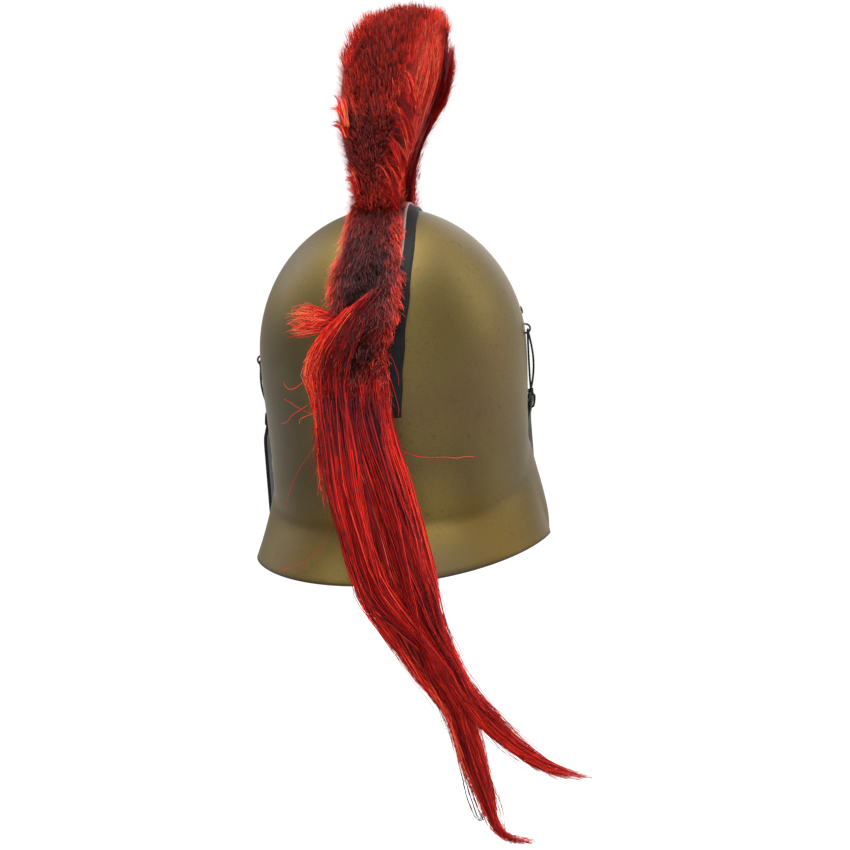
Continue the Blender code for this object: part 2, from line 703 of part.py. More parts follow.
def make_cord(side, sign, finish):
    """One closed loop of cord through the eye and the strap's hole, drawn together by a knot."""
    eye, _ = side_place(sign, EYE_Y, EYE_DROPS[side])
    bend = EYE_WIRE_RADIUS + CORD_RADIUS + 2 * CLEARANCE
    out = CLEARANCE + EYE_WIRE_RADIUS + EYE_RADIUS * 0.45
    hang = eye + Vector((sign * out, 0, -EYE_RADIUS * 0.9))
    loop = [hang + Vector((0, bend * math.cos(angle), bend * math.sin(angle)))
            for angle in (math.pi * step / 5 for step in range(6))]
    span = sign * strap_span()
    knot = strap_point(span, STRAP_TOP_DROP - KNOT_RISE - KNOT_RADIUS)

    def strand(start, bow):
        points = []
        for step in range(1, 5):
            bulge = CORD_SPREAD / 2 * math.sin(math.pi * step / 5)
            aside = Vector((sign * bulge * (1 + 0.4 * bow), bow * bulge, 0))
            points.append(start.lerp(knot, step / 5) + aside)
        return points

    def beside(drop, reach):
        return strap_point(span, drop) + Vector((sign * reach, 0, 0))

    reach = STRAP_THICKNESS / 2 + CORD_RADIUS + 2 * CLEARANCE
    edge = STRAP_TOP_DROP - CORD_RADIUS
    hole = STRAP_TOP_DROP + STRAP_HOLE_DROP
    lace = [beside(edge, reach), beside(hole - 2 * CORD_RADIUS, reach),
            beside(hole, reach * 0.7), beside(hole, -reach * 0.7),
            beside(hole - 2 * CORD_RADIUS, -reach), beside(edge, -reach)]
    points = [*reversed(loop), *strand(loop[0], 1), knot,
              *lace, knot, *reversed(strand(loop[-1], -1))]
    thick = [CORD_RADIUS] * len(points)
    bm = bmesh.new()
    add_tube(bm, points, thick, thick, Vector((0.3, 0.9, 0.2)), 6, True)
    aside = STRAP_WIDTH / 2 + CORD_RADIUS + 2 * CLEARANCE
    tail = [knot - Vector((0, aside * back, CORD_TAIL * down))
            for back, down in ((0, 0), (0.6, 0.1), (1, 0.4), (1, 0.7), (0.95, 1))]
    thick = [CORD_RADIUS] * len(tail)
    add_tube(bm, tail, thick, thick, Vector((1, 0, 0)))
    ball = bmesh.new()
    bmesh.ops.create_uvsphere(ball, u_segments=10, v_segments=7, radius=KNOT_RADIUS)
    bmesh.ops.translate(ball, verts=ball.verts, vec=knot)
    cord = mesh_object(f"tie_cord_{side}", ball, finish)
    boolean(cord, "UNION", mesh_object(f"cord_loop_{side}", bm, finish))
    return cord


def main():
    clear_scene()
    bronze = material("antique_bronze", (0.30, 0.22, 0.10), 0.42, 1.0)
    leather = material("black_leather", (0.012, 0.012, 0.013), 0.45)
    hair = material("red_hair", (0.28, 0.012, 0.010), 0.55)
    cord = material("black_cord", (0.010, 0.010, 0.010), 0.6)
    iron = material("dark_iron", (0.035, 0.033, 0.030), 0.45, 1.0)

    make_shell(bronze)
    path = band_path()
    seat = 4 * CLEARANCE + BAND_THICKNESS
    keep_out = mesh_object("fur_seat", strip(
        path, 0, 1, SEAT_LINE, SEAT_HALF_WIDTH, seat - SEAT_DEPTH, SEAT_DEPTH,
        SEAT_STEPS, SEAT_COLUMNS), bronze, False)
    make_band(path, leather)
    make_crest(path, keep_out, hair)
    make_tail(keep_out, hair)
    for side, sign in SIDES.items():
        make_eye(side, sign, iron)
        make_rivet(side, sign, iron)
        make_cord(side, sign, cord)
    make_strap(leather)


main()
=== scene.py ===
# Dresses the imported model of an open-faced bronze helmet with a red fur crest and a long tail.
# Metres, +Z up. The helmet faces +Y, and +X is the wearer's right.
import random
from math import acos, copysign, cos, exp, hypot, pi, radians, sin, sqrt

import bmesh
import bpy
from mathutils import Matrix, Vector


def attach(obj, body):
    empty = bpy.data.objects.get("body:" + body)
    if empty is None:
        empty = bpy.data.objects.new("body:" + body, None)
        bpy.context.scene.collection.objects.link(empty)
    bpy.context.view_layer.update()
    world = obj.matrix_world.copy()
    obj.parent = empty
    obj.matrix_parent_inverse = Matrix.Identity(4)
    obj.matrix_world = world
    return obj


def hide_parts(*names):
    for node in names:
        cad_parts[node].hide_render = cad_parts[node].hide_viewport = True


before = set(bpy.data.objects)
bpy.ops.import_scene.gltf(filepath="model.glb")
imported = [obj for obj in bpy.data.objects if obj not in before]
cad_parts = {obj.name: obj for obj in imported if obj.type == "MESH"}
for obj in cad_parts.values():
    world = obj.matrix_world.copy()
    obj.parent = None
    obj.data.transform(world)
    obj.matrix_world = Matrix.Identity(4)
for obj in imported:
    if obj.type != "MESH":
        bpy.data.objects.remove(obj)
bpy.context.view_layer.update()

random.seed(7)
between = random.uniform


# A value in a node tree. Python's operators on it add Math nodes
class Wire:
    def __init__(self, bench, socket):
        self.bench, self.socket = bench, socket

    def sum(self, operation, *values):
        return self.bench.add("ShaderNodeMath", {"operation": operation}, dict(enumerate(values)))[0]

    def __add__(self, other):
        return self.sum("ADD", self, other)

    def __sub__(self, other):
        return self.sum("SUBTRACT", self, other)

    def __rsub__(self, other):
        return self.sum("SUBTRACT", other, self)

    def __mul__(self, other):
        return self.sum("MULTIPLY", self, other)

    def __truediv__(self, other):
        return self.sum("DIVIDE", self, other)

    def __rtruediv__(self, other):
        return self.sum("DIVIDE", other, self)

    def __pow__(self, other):
        return self.sum("POWER", self, other)

    def __neg__(self):
        return self.sum("MULTIPLY", self, -1)

    __radd__, __rmul__ = __add__, __mul__


# A node whose outputs are picked by name or number
class Made:
    def __init__(self, bench, node):
        self.bench, self.node = bench, node

    def __getitem__(self, output):
        return Wire(self.bench, self.node.outputs[output])


class Bench:
    def __init__(self, tree):
        self.tree = tree

    def add(self, kind, settings=None, sockets=None):
        node = self.tree.nodes.new(kind)
        for name, value in (settings or {}).items():
            if name == "stops":
                ramp = node.color_ramp.elements
                while len(ramp) < len(value):
                    ramp.new(1)
                for stop, (place, colour) in zip(ramp, value):
                    stop.position, stop.color = place, (*colour, 1)
            else:
                setattr(node, name, value)
        for name, value in (sockets or {}).items():
            self.feed(node.inputs[name], value)
        return Made(self, node)

    # One output of a geometry node, its sockets given by name
    def shape(self, kind, output="Geometry", settings=None, **sockets):
        return self.add("GeometryNode" + kind, settings, sockets)[output]

    def feed(self, socket, value):
        if isinstance(value, Wire):
            self.tree.links.new(value.socket, socket)
        elif isinstance(value, tuple) and socket.type == "RGBA":
            socket.default_value = (*value[:3], 1)
        else:
            socket.default_value = value

    def noise(self, place, scale, detail=2.0, roughness=0.6, output="Fac", warp=0.0):
        return self.add("ShaderNodeTexNoise", {}, {
            "Vector": place, "Scale": scale, "Detail": detail, "Roughness": roughness,
            "Distortion": warp})[output]

    def blend(self, share, one, two):
        return self.add("ShaderNodeMix", {"data_type": "RGBA"}, {0: share, 6: one, 7: two})[2]

    def ramp(self, share, stops):
        return self.add("ShaderNodeValToRGB", {"stops": stops}, {0: share})["Color"]

    # Rises smoothly from 0 at low to 1 at high
    def step(self, value, low, high):
        return self.add("ShaderNodeMapRange", {"interpolation_type": "SMOOTHSTEP"}, {
            "Value": value, "From Min": low, "From Max": high})["Result"]

    def bump(self, strength, distance, height):
        return self.add("ShaderNodeBump", {}, {
            "Strength": strength, "Distance": distance, "Height": height})["Normal"]

    # An attribute of the mesh, as a shader reads it
    def painted(self, name):
        return self.add("ShaderNodeAttribute", {"attribute_name": name})["Fac"]

    # An attribute of the mesh, as Geometry Nodes reads it
    def stored(self, name, kind="FLOAT"):
        return self.shape("InputNamedAttribute", 0, {"data_type": kind}, Name=name)

    def vectors(self, operation, *values):
        return self.add("ShaderNodeVectorMath", {"operation": operation}, dict(enumerate(values)))[0]

    def scaled(self, vector, size):
        return self.add("ShaderNodeVectorMath", {"operation": "SCALE"}, {0: vector, "Scale": size})[0]


# Sums that take numbers and wires alike
def either(operation, plain):
    def work(*values):
        wires = [value for value in values if isinstance(value, Wire)]
        return wires[0].sum(operation, *values) if wires else plain(*values)
    return work


sine, cosine = either("SINE", sin), either("COSINE", cos)
larger, smaller = either("MAXIMUM", max), either("MINIMUM", min)
power = either("POWER", lambda base, exponent: base ** exponent)


def ease(share):
    share = smaller(1.0, larger(0.0, share))
    return share * share * (3 - 2 * share)


sides = {"left": -1, "right": 1}


# Smooth curve through rows of numbers
def smoothRows(rows, steps):
    ends = [rows[0], *rows, rows[-1]]
    curve = []
    for before, start, end, after in zip(ends, ends[1:], ends[2:], ends[3:]):
        for step in range(steps):
            t = step / steps
            curve.append(tuple(
                0.5 * (2 * b + (c - a) * t + (2 * a - 5 * b + 4 * c - d) * t * t
                       + (3 * b - a - 3 * c + d) * t ** 3)
                for a, b, c, d in zip(before, start, end, after)))
    return curve + [tuple(rows[-1])]


# The other numbers of a table's rows at a place between their first numbers
def readRows(rows, place, eased=False):
    place = min(rows[-1][0], max(rows[0][0], place))
    for one, two in zip(rows, rows[1:]):
        if place <= two[0]:
            share = (place - one[0]) / (two[0] - one[0])
            share = ease(share) if eased else share
            return [a + (b - a) * share for a, b in zip(one[1:], two[1:])]


# What a rule gives at even steps from 0 to 1
def evenly(steps, rule):
    return [rule(step / steps) for step in range(steps + 1)]


# 1 at the middle, falling away on both sides over the reach
def hump(value, middle, reach):
    return exp(-((value - middle) / reach) ** 2)


# The two numbers between which a test stops being true
def findTurn(low, high, rounds, test):
    for _ in range(rounds):
        middle = (low + high) / 2
        low, high = (middle, high) if test(middle) else (low, middle)
    return low, high


def lengthsAlong(points):
    lengths = [0.0]
    for one, two in zip(points, points[1:]):
        lengths.append(lengths[-1] + (two - one).length)
    return lengths


# Making plain meshes

def circle(radius, count):
    angles = [2 * pi * k / count for k in range(count)]
    return [(radius * cos(angle), radius * sin(angle)) for angle in angles]


def joinRings(bm, rings, capped=True):
    for one, two in zip(rings, rings[1:]):
        for k in range(len(one)):
            bm.faces.new((one[k - 1], one[k], two[k], two[k - 1]))
    if capped:
        bm.faces.new(rings[0])
        bm.faces.new(rings[-1])


def addPiece(name, bm, finish, closed=True, smooth=True):
    if closed:
        bmesh.ops.recalc_face_normals(bm, faces=bm.faces)
    mesh = bpy.data.meshes.new(name)
    bm.to_mesh(mesh)
    bm.free()
    piece = bpy.data.objects.new(name, mesh)
    bpy.context.scene.collection.objects.link(piece)
    mesh.materials.append(finish)
    if smooth:
        mesh.shade_smooth()
    return piece


def bevel(piece, width, segments=3):
    edge = piece.modifiers.new("Edge", "BEVEL")
    edge.width, edge.segments, edge.limit_method = width, segments, "ANGLE"
    edge.angle_limit = radians(50)


def settle(piece, slot, *nodes):
    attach(piece, "root")
    if nodes:
        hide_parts(*nodes)


# Runs a tree on a piece and leaves a plain mesh
def runTree(piece, tree, values):
    modifier = piece.modifiers.new(tree.name, "NODES")
    modifier.node_group = tree
    for item in tree.interface.items_tree:
        if item.item_type == "SOCKET" and item.in_out == "INPUT" and item.name in values:
            modifier[item.identifier] = values[item.name]
    ready = piece.evaluated_get(bpy.context.evaluated_depsgraph_get())
    mesh = bpy.data.meshes.new_from_object(ready)
    piece.modifiers.remove(modifier)
    old, piece.data = piece.data, mesh
    mesh.name = old.name
    bpy.data.meshes.remove(old)


def startTree(name, inputs):
    tree = bpy.data.node_groups.new(name, "GeometryNodeTree")
    tree.interface.new_socket("Geometry", in_out="INPUT", socket_type="NodeSocketGeometry")
    for label, kind in inputs.items():
        tree.interface.new_socket(label, in_out="INPUT", socket_type="NodeSocket" + kind)
    tree.interface.new_socket("Geometry", in_out="OUTPUT", socket_type="NodeSocketGeometry")
    bench = Bench(tree)
    return tree, bench, bench.add("NodeGroupInput")


def endTree(bench, geometry, material):
    real = bench.shape("RealizeInstances", Geometry=geometry)
    painted = bench.shape("SetMaterial", Geometry=real, Material=material)
    bench.add("NodeGroupOutput", {}, {"Geometry": painted})


# The camera and the studio

view = {
    "azimuth": 8, "elevation": 0.8, "roll": 4,
    "distance": 14, "frameWidth": 0.68,
    "across": 0.0211, "height": -0.1747, "depth": -0.03,
}


def makeCamera():
    turn, rise = radians(view["azimuth"]), radians(view["elevation"])
    roll = radians(view["roll"])
    right = Vector((cos(turn), sin(turn), 0))
    back = Vector((sin(turn) * cos(rise), -cos(turn) * cos(rise), sin(rise)))
    up = back.cross(right)
    tiltedRight = right * cos(roll) - up * sin(roll)
    tiltedUp = right * sin(roll) + up * cos(roll)
    x = (view["across"] - view["depth"] * sin(turn)) / cos(turn)
    target = Vector((x, view["depth"], view["height"]))
    lens = bpy.data.cameras.new("photo camera")
    lens.sensor_width = 36
    lens.lens = 36 * view["distance"] / view["frameWidth"]
    lens.clip_end = 60
    camera = bpy.data.objects.new("photo camera", lens)
    camera.matrix_world = Matrix.Translation(target + back * view["distance"]) @ Matrix(
        (tiltedRight, tiltedUp, back)).transposed().to_4x4()
    bpy.context.scene.collection.objects.link(camera)
    bpy.context.scene.camera = camera


studio = {
    "floorHeight": -0.54, "floorRadius": 30.0, "floorColour": (0.3, 0.3, 0.3), "floorGlow": 0.9,
    "roomLight": 0.50,
    "lamps": {  # place, aims at, width, height, watts
        "overhead": ((0.2, -0.4, 2.9), (0.0, 0.0, 0.0), 2.6, 2.6, 260),
        "key": ((1.7, -3.0, 1.0), (0.0, 0.0, -0.05), 2.8, 2.8, 20),
        "fill": ((-1.4, -3.2, 0.6), (0.0, 0.0, -0.1), 2.0, 2.0, 26),
        "right edge": ((1.9, 0.7, 0.8), (0.05, -0.05, -0.1), 0.8, 2.0, 20),
        "left edge": ((-1.7, 0.8, 1.3), (-0.05, -0.05, 0.0), 0.8, 2.0, 14),
        "front": ((0.5, 2.8, 1.0), (0.0, 0.0, -0.1), 2.0, 2.0, 24),
    },
}


def makeStudio():
    scene = bpy.context.scene
    scene.view_settings.view_transform = "Standard"
    scene.world = bpy.data.worlds.new("white room")
    scene.world.use_nodes = True
    room = Bench(scene.world.node_tree)
    room.tree.nodes.clear()
    seen = room.add("ShaderNodeLightPath")["Is Camera Ray"]
    light = room.add("ShaderNodeBackground", {}, {"Color": (1.0, 1.0, 1.0)})
    room.feed(light.node.inputs["Strength"], seen * (1.02 - studio["roomLight"]) + studio["roomLight"])
    room.add("ShaderNodeOutputWorld", {}, {"Surface": light["Background"]})
    for name, (place, aim, width, height, watts) in studio["lamps"].items():
        lamp = bpy.data.lights.new(name, "AREA")
        lamp.shape, lamp.size, lamp.size_y, lamp.energy = "RECTANGLE", width, height, watts
        holder = bpy.data.objects.new(name, lamp)
        holder.location = place
        holder.rotation_euler = (Vector(aim) - Vector(place)).to_track_quat("-Z", "Y").to_euler()
        scene.collection.objects.link(holder)
    white, bench, surface = startFinish("white floor")
    paint(bench, surface, {"Base Color": studio["floorColour"], "Roughness": 0.9,
                           "Emission Color": (1, 1, 1), "Emission Strength": studio["floorGlow"]})
    bm = bmesh.new()
    bmesh.ops.create_circle(bm, cap_ends=True, segments=64, radius=studio["floorRadius"])
    bmesh.ops.translate(bm, verts=bm.verts, vec=(0, 0, studio["floorHeight"]))
    addPiece("floor", bm, white)


# Finishes

def startFinish(name):
    finish = bpy.data.materials.new(name)
    finish.use_nodes = True
    surface = finish.node_tree.nodes["Principled BSDF"]
    return finish, Bench(finish.node_tree), surface


def paint(bench, surface, values):
    for name, value in values.items():
        bench.feed(surface.inputs[name], value)


bronze = {
    "olive": (0.100, 0.074, 0.027), "brown": (0.098, 0.064, 0.029),
    "yellow": (0.150, 0.106, 0.032), "dark": (0.040, 0.031, 0.017), "golden": (0.100, 0.064, 0.014),
    "dull": (0.040, 0.031, 0.017), "grey": (0.190, 0.180, 0.155),
    "roughness": 0.52, "grain": 900, "patches": 9,
    # the golden flare: x and height where it begins and where it is full
    "goldenAcross": (-0.100, -0.060), "goldenDown": (-0.215, -0.250),
    # painted shade on the left side: x and heights where it begins and where it is full
    "dullAcross": (-0.028, -0.070), "dullTop": (-0.040, -0.130), "dullBottom": (-0.275, -0.205),
    "dullAlong": (0.070, -0.060), "dullShare": 1.1,
    # spots of painted shade and painted highlight: middle, reach, share, colour
    "stains": (
        ((0.046, -0.105, -0.050), 0.060, 0.50, "dark"), ((0.054, -0.140, -0.285), 0.070, 0.90, "dark"),
        ((-0.036, -0.140, -0.282), 0.050, 0.90, "yellow"), ((0.045, -0.112, -0.235), 0.040, 0.80, "yellow"),
        ((-0.066, -0.052, -0.034), 0.050, 0.50, "grey"),
    ),
}


def makeBronze():
    finish, bench, surface = startFinish("patinated bronze")
    place = bench.add("ShaderNodeTexCoord")["Object"]
    drift = bench.noise(place, bronze["patches"], 3, 0.55, warp=0.4)
    slow = bench.noise(place, bronze["patches"] * 0.35, 1, 0.5)
    fine = bench.noise(place, bronze["grain"])
    middling = bench.noise(place, bronze["grain"] * 0.16, 3)
    colour = bench.blend(bench.step(drift, 0.38, 0.62), bronze["olive"], bronze["brown"])
    colour = bench.blend(bench.step(slow, 0.45, 0.7), colour, bronze["yellow"])
    spot = bench.add("ShaderNodeSeparateXYZ", {}, {0: place})
    golden = bench.step(spot["X"], *bronze["goldenAcross"]) * bench.step(spot["Z"], *bronze["goldenDown"])
    colour = bench.blend(golden * (0.40 + drift), colour, bronze["golden"])
    # Painted shade: the left side's colour is pulled towards the dark colour
    dull = bench.step(spot["Z"], *bronze["dullTop"]) * bench.step(spot["Z"], *bronze["dullBottom"])
    dull = bench.step(spot["X"], *bronze["dullAcross"]) * dull * bench.step(spot["Y"], *bronze["dullAlong"])
    colour = bench.blend(dull * (drift + 0.15) * bronze["dullShare"], colour, bronze["dull"])
    # Painted shade and painted highlight: each spot pulls the colour darker or lighter in place of light
    for middle, reach, share, tint in bronze["stains"]:
        gap = bench.add("ShaderNodeVectorMath", {"operation": "DISTANCE"}, {0: place, 1: middle})["Value"]
        colour = bench.blend(bench.step(gap, reach, 0.0) * share, colour, bronze[tint])
    speck = bench.step(fine, 0.56, 0.72) * 0.55 + bench.step(middling, 0.60, 0.75) * 0.35
    colour = bench.blend(speck, colour, bronze["dark"])
    # Painted shade along the rim: the colour darkens over the last 2 mm before the edge
    colour = bench.blend(bench.step(bench.painted("rimGap"), 0.0022, 0.0006) * 0.8, colour, bronze["dark"])
    paint(bench, surface, {
        "Metallic": 1.0, "Base Color": colour,
        "Roughness": (fine - 0.5) * 0.16 + (drift - 0.5) * 0.14 + bronze["roughness"],
        "Normal": bench.bump(0.18, 0.0004, fine * 0.5 + middling)})
    return finish


# Colours from dark to light; the paler top stop is a painted glint
hairTones = (
    (0.0, (0.020, 0.004, 0.005)), (0.20, (0.060, 0.008, 0.010)), (0.40, (0.165, 0.010, 0.012)),
    (0.60, (0.370, 0.012, 0.010)), (0.80, (0.760, 0.026, 0.012)), (1.0, (0.900, 0.170, 0.080)),
)
# The fur's ramp has more green and blue: partly its own plum colour, partly a painted sheen
coatTones = (
    (0.0, (0.026, 0.012, 0.013)), (0.20, (0.072, 0.020, 0.020)), (0.40, (0.190, 0.028, 0.026)),
    (0.60, (0.400, 0.032, 0.024)), (0.80, (0.760, 0.044, 0.022)), (1.0, (0.900, 0.190, 0.100)),
)


def makeHairFinish(name, tones, roughness, sheen):
    finish, bench, surface = startFinish(name)
    streak = bench.noise(bench.add("ShaderNodeTexCoord")["Object"], 60)
    lit = bench.painted("tone") + (bench.painted("way") - 0.45) * 0.16 + (streak - 0.5) * 0.18
    paint(bench, surface, {
        "Base Color": bench.ramp(lit, tones), "Roughness": roughness, "Specular IOR Level": sheen})
    return finish


# Plain finishes. Noise gives the colour, and where asked a share of the roughness and the bump
plainLooks = {
    "hair roots": {
        "noise": 220, "stops": ((0.35, (0.030, 0.006, 0.007)), (0.65, (0.110, 0.011, 0.012))),
        "bump": (0.8, 0.001), "sockets": {"Roughness": 0.8, "Specular IOR Level": 0.05}},
    "black leather": {
        "noise": 60, "stops": ((0.35, (0.003, 0.003, 0.003)), (0.75, (0.009, 0.009, 0.010))),
        "cells": 900.0, "bump": (0.5, 0.0003), "roughness": (0.25, 0.42),
        "sockets": {"Specular IOR Level": 0.10}},
    "dyed hide": {
        "noise": 700, "stops": ((0.35, (0.070, 0.012, 0.012)), (0.70, (0.150, 0.030, 0.028))),
        "cutEdge": (0.300, 0.150, 0.125), "bump": (0.4, 0.0003), "sockets": {"Roughness": 0.75}},
    "waxed cord": {
        "noise": 1500, "detail": 2, "stops": ((0.35, (0.004, 0.004, 0.004)), (0.7, (0.014, 0.014, 0.015))),
        "sockets": {"Roughness": 0.6, "Specular IOR Level": 0.12}},
    "blackened iron": {
        "noise": 500, "stops": ((0.4, (0.020, 0.019, 0.018)), (0.7, (0.085, 0.075, 0.060))),
        "roughness": (0.3, 0.3), "sockets": {"Metallic": 1.0}},
}


def makePlainFinish(name):
    look = plainLooks[name]
    finish, bench, surface = startFinish(name)
    place = bench.add("ShaderNodeTexCoord")["Object"]
    noise = bench.noise(place, look["noise"], look.get("detail", 3))
    colour, height = bench.ramp(noise, look["stops"]), noise
    if "cutEdge" in look:
        colour = bench.blend(bench.step(bench.painted("edge"), 0.90, 0.98), colour, look["cutEdge"])
    if "cells" in look:
        height = bench.add("ShaderNodeTexVoronoi", {"feature": "SMOOTH_F1"}, {
            "Vector": place, "Scale": look["cells"]})["Distance"] + noise * 0.6
    paint(bench, surface, {"Base Color": colour, **look["sockets"]})
    if "roughness" in look:
        share, least = look["roughness"]
        paint(bench, surface, {"Roughness": noise * share + least})
    if "bump" in look:
        paint(bench, surface, {"Normal": bench.bump(*look["bump"], height)})
    return finish


# The shell: a bowl whose section changes down to a flared neck guard

shell = {
    "thickness": 0.0014, "halfWidth": 0.1066, "rearLength": 0.127, "frontLength": 0.120,
    "domeHeight": 0.1144, "crownSetback": 0.010, "waistDrop": 0.205, "waistHalfWidth": 0.1028,
    "napeLength": 0.115, "creaseSide": 0.211, "creaseRear": 0.250, "creasePower": 2.2,
    "rimSide": 0.269, "rimRear": 0.299, "rimPower": 1.6, "flareSide": 0.014,
    "flareRear": 0.030, "flareFrontGain": 1.3, "flareFrontLimit": -0.35, "flarePower": 1.25,
}
shellMesh = {"rows": 72, "edgeColumns": 56, "backColumns": 96, "edgeBevel": 0.0004}
# Edge of the face opening: shares of the front length and of the rim's drop at the side
faceEdge = (
    (-0.050, 1.030), (-0.010, 0.995), (0.140, 0.930), (0.225, 0.862), (0.255, 0.800),
    (0.275, 0.751), (0.308, 0.688), (0.358, 0.613), (0.450, 0.539), (0.583, 0.483),
    (0.750, 0.446), (0.920, 0.426), (1.150, 0.416),
)


def wallAxes(size, drop):
    neck = ease((drop - size["domeHeight"]) / (size["waistDrop"] - size["domeHeight"]))
    side = size["halfWidth"] + (size["waistHalfWidth"] - size["halfWidth"]) * neck
    rear = size["rearLength"] + (size["napeLength"] - size["rearLength"]) * neck
    return side, rear, size["frontLength"]


def crownShare(size, drop):
    return larger(0.0, (size["domeHeight"] - drop) / size["domeHeight"])


def creaseDrop(size, back):
    turn = 1 - power(1 - larger(back, size["flareFrontLimit"]), size["creasePower"])
    return size["creaseSide"] + (size["creaseRear"] - size["creaseSide"]) * turn


def rimDrop(size, back):
    reach = size["rimRear"] - size["rimSide"]
    return size["rimSide"] + reach * power(larger(0.0, back), size["rimPower"])


def flare(size, back, drop):
    crease = creaseDrop(size, back)
    share = larger(0.0, (drop - crease) / (rimDrop(size, back) - crease))
    front = smaller(0.0, larger(back, size["flareFrontLimit"]))
    ahead = size["flareSide"] * (front * (-size["flareFrontGain"]) + 1)
    reach = ahead + (size["flareRear"] - size["flareSide"]) * larger(0.0, back)
    return reach * power(share, size["flarePower"]) * (1.2 - 0.2 * share)


# x, y and z of the outer face, for numbers and wires alike
def shellSpot(size, angle, drop):
    side, rear, front = wallAxes(size, drop)
    forward = cosine(angle)
    if isinstance(forward, Wire):
        ahead = forward.sum("GREATER_THAN", forward, 0.0)
        length = rear + (front - rear) * ahead
    else:
        length = front if forward > 0 else rear
    crown = crownShare(size, drop)
    bulge = power(1 - crown * crown, 0.5)
    acrossNormal, alongNormal = sine(angle) / side, forward / length
    out = flare(size, -forward, drop) / power(
        acrossNormal * acrossNormal + alongNormal * alongNormal, 0.5)
    x = side * bulge * sine(angle) + acrossNormal * out
    y = length * bulge * forward + alongNormal * out - size["crownSetback"] * crown * crown
    return x, y, size["thickness"] - drop


def shellPoint(angle, drop):
    return Vector(shellSpot(shell, angle, drop))


# Columns of the shell: angle and lowest drop, evenly spaced along the face opening's edge
def shellColumns():
    edge = [(shell["frontLength"] * forward, shell["rimSide"] * down)
            for forward, down in smoothRows(faceEdge, 40)]
    found = []
    for y, drop in edge:
        if shellPoint(0, drop).y >= y:
            angle = findTurn(0.0, pi, 40, lambda turn: shellPoint(turn, drop).y > y)[0]
            if drop <= rimDrop(shell, -cos(angle)):
                found.append((angle, drop))
    found.append((0.0, found[-1][1]))
    lengths = lengthsAlong([shellPoint(*place) for place in found])
    rows = [(length, *place) for length, place in zip(lengths, found)]
    count = shellMesh["edgeColumns"]
    side = [tuple(readRows(rows, lengths[-1] * step / count)) for step in range(count + 1)]
    corner = side[0][0]
    back = []
    for step in range(1, shellMesh["backColumns"]):
        angle = corner + (2 * pi - 2 * corner) * step / shellMesh["backColumns"]
        back.append((angle, rimDrop(shell, -cos(angle))))
    left = [(2 * pi - angle, drop) for angle, drop in side[:-1]]
    return side[::-1] + back + left


def makeShellTree():
    kinds = dict.fromkeys(shell, "Float")
    tree, bench, given = startTree("shell form", {**kinds, "Material": "Material"})
    size = {name: given[name] for name in shell}
    x, y, z = shellSpot(size, bench.stored("angle"), bench.stored("drop"))
    spot = bench.add("ShaderNodeCombineXYZ", {}, {"X": x, "Y": y, "Z": z})["Vector"]
    moved = bench.shape("SetPosition", Geometry=given["Geometry"], Position=spot)
    endTree(bench, moved, given["Material"])
    return tree


def makeShell(finish):
    bm = bmesh.new()
    angles = bm.verts.layers.float.new("angle")
    drops = bm.verts.layers.float.new("drop")
    gaps = bm.verts.layers.float.new("rimGap")
    dome, rows = shell["domeHeight"], shellMesh["rows"]
    quarter = dome * pi / 2

    def newVert(angle, drop, gap):
        vert = bm.verts.new((angle, drop, 0))
        vert[angles], vert[drops], vert[gaps] = angle, drop, gap
        return vert

    crown = newVert(0, 0, 0.1)
    rings = []
    for angle, lowest in shellColumns():
        length = dome * acos(1 - lowest / dome) if lowest < dome else quarter + lowest - dome
        ring = []
        for row in range(1, rows + 1):
            reach = length * row / rows
            drop = dome * (1 - cos(reach / dome)) if reach < quarter else dome + reach - quarter
            ring.append(newVert(angle, drop, length - reach))
        rings.append(ring)
    for here, beside in zip(rings, rings[1:] + rings[:1]):
        bm.faces.new((crown, beside[0], here[0]))
        for k in range(rows - 1):
            bm.faces.new((here[k], beside[k], beside[k + 1], here[k + 1]))
    piece = addPiece("bronzeShell", bm, finish, closed=False)
    runTree(piece, makeShellTree(), {**shell, "Material": finish})
    piece.data.shade_smooth()
    wall = piece.modifiers.new("Wall", "SOLIDIFY")
    wall.thickness, wall.offset, wall.use_even_offset = shell["thickness"], -1, True
    bevel(piece, shellMesh["edgeBevel"], 2)
    settle(piece, "antique_bronze", "helmet_shell")


# The line that the band, the hide and the fur follow over the crown

band = {
    "thickness": 0.0025, "halfWidth": 0.027, "frontDrop": 0.070, "rearDrop": 0.168,
    "clearance": 0.0003, "steps": 120, "columns": 16, "edgeBevel": 0.0007,
    # steps of the line from the front end to the crown, on to the widest drop, and to the rear end
    "pathSteps": (60, 90, 30),
    "line": ((0.00, 0.00), (0.33, 0.04), (0.48, 0.24), (0.61, 0.28), (0.73, 0.19),
             (0.84, 0.00), (0.92, -0.15), (1.00, -0.28)),
}
hide = {
    "thickness": 0.002, "halfWidth": 0.022, "start": 0.02, "end": 0.86, "steps": 90, "columns": 12,
    "edgeBevel": 0.0005,
    "line": ((0.00, 0.09), (0.33, 0.01), (0.61, 0.20), (0.75, -0.02), (0.84, -0.45), (1.00, -0.75)),
}


def makePath():
    dome, rear = shell["domeHeight"], band["rearDrop"]
    start = acos(1 - band["frontDrop"] / dome)
    front, upper, lower = band["pathSteps"]
    spots = [(0, dome * (1 - cos(start * (1 - step / front)))) for step in range(front)]
    spots += [(pi, dome * (1 - cos(pi / 2 * step / upper))) for step in range(upper)]
    spots += [(pi, dome + (rear - dome) * step / lower) for step in range(lower + 1)]
    points = [shellPoint(angle, drop) for angle, drop in spots]
    return points, lengthsAlong(points)


path = makePath()


def pathPlace(share):
    points, lengths = path
    target = min(1.0, max(0.0, share)) * lengths[-1]
    index = max(1, sum(1 for length in lengths[:-1] if length < target))
    before, after = lengths[index - 1], lengths[index]
    point = points[index - 1].lerp(points[index], (target - before) / (after - before))
    near, far = points[max(0, index - 3)], points[min(len(points) - 1, index + 2)]
    along = (far - near).normalized()
    return point, Vector((0, along.z, -along.y))


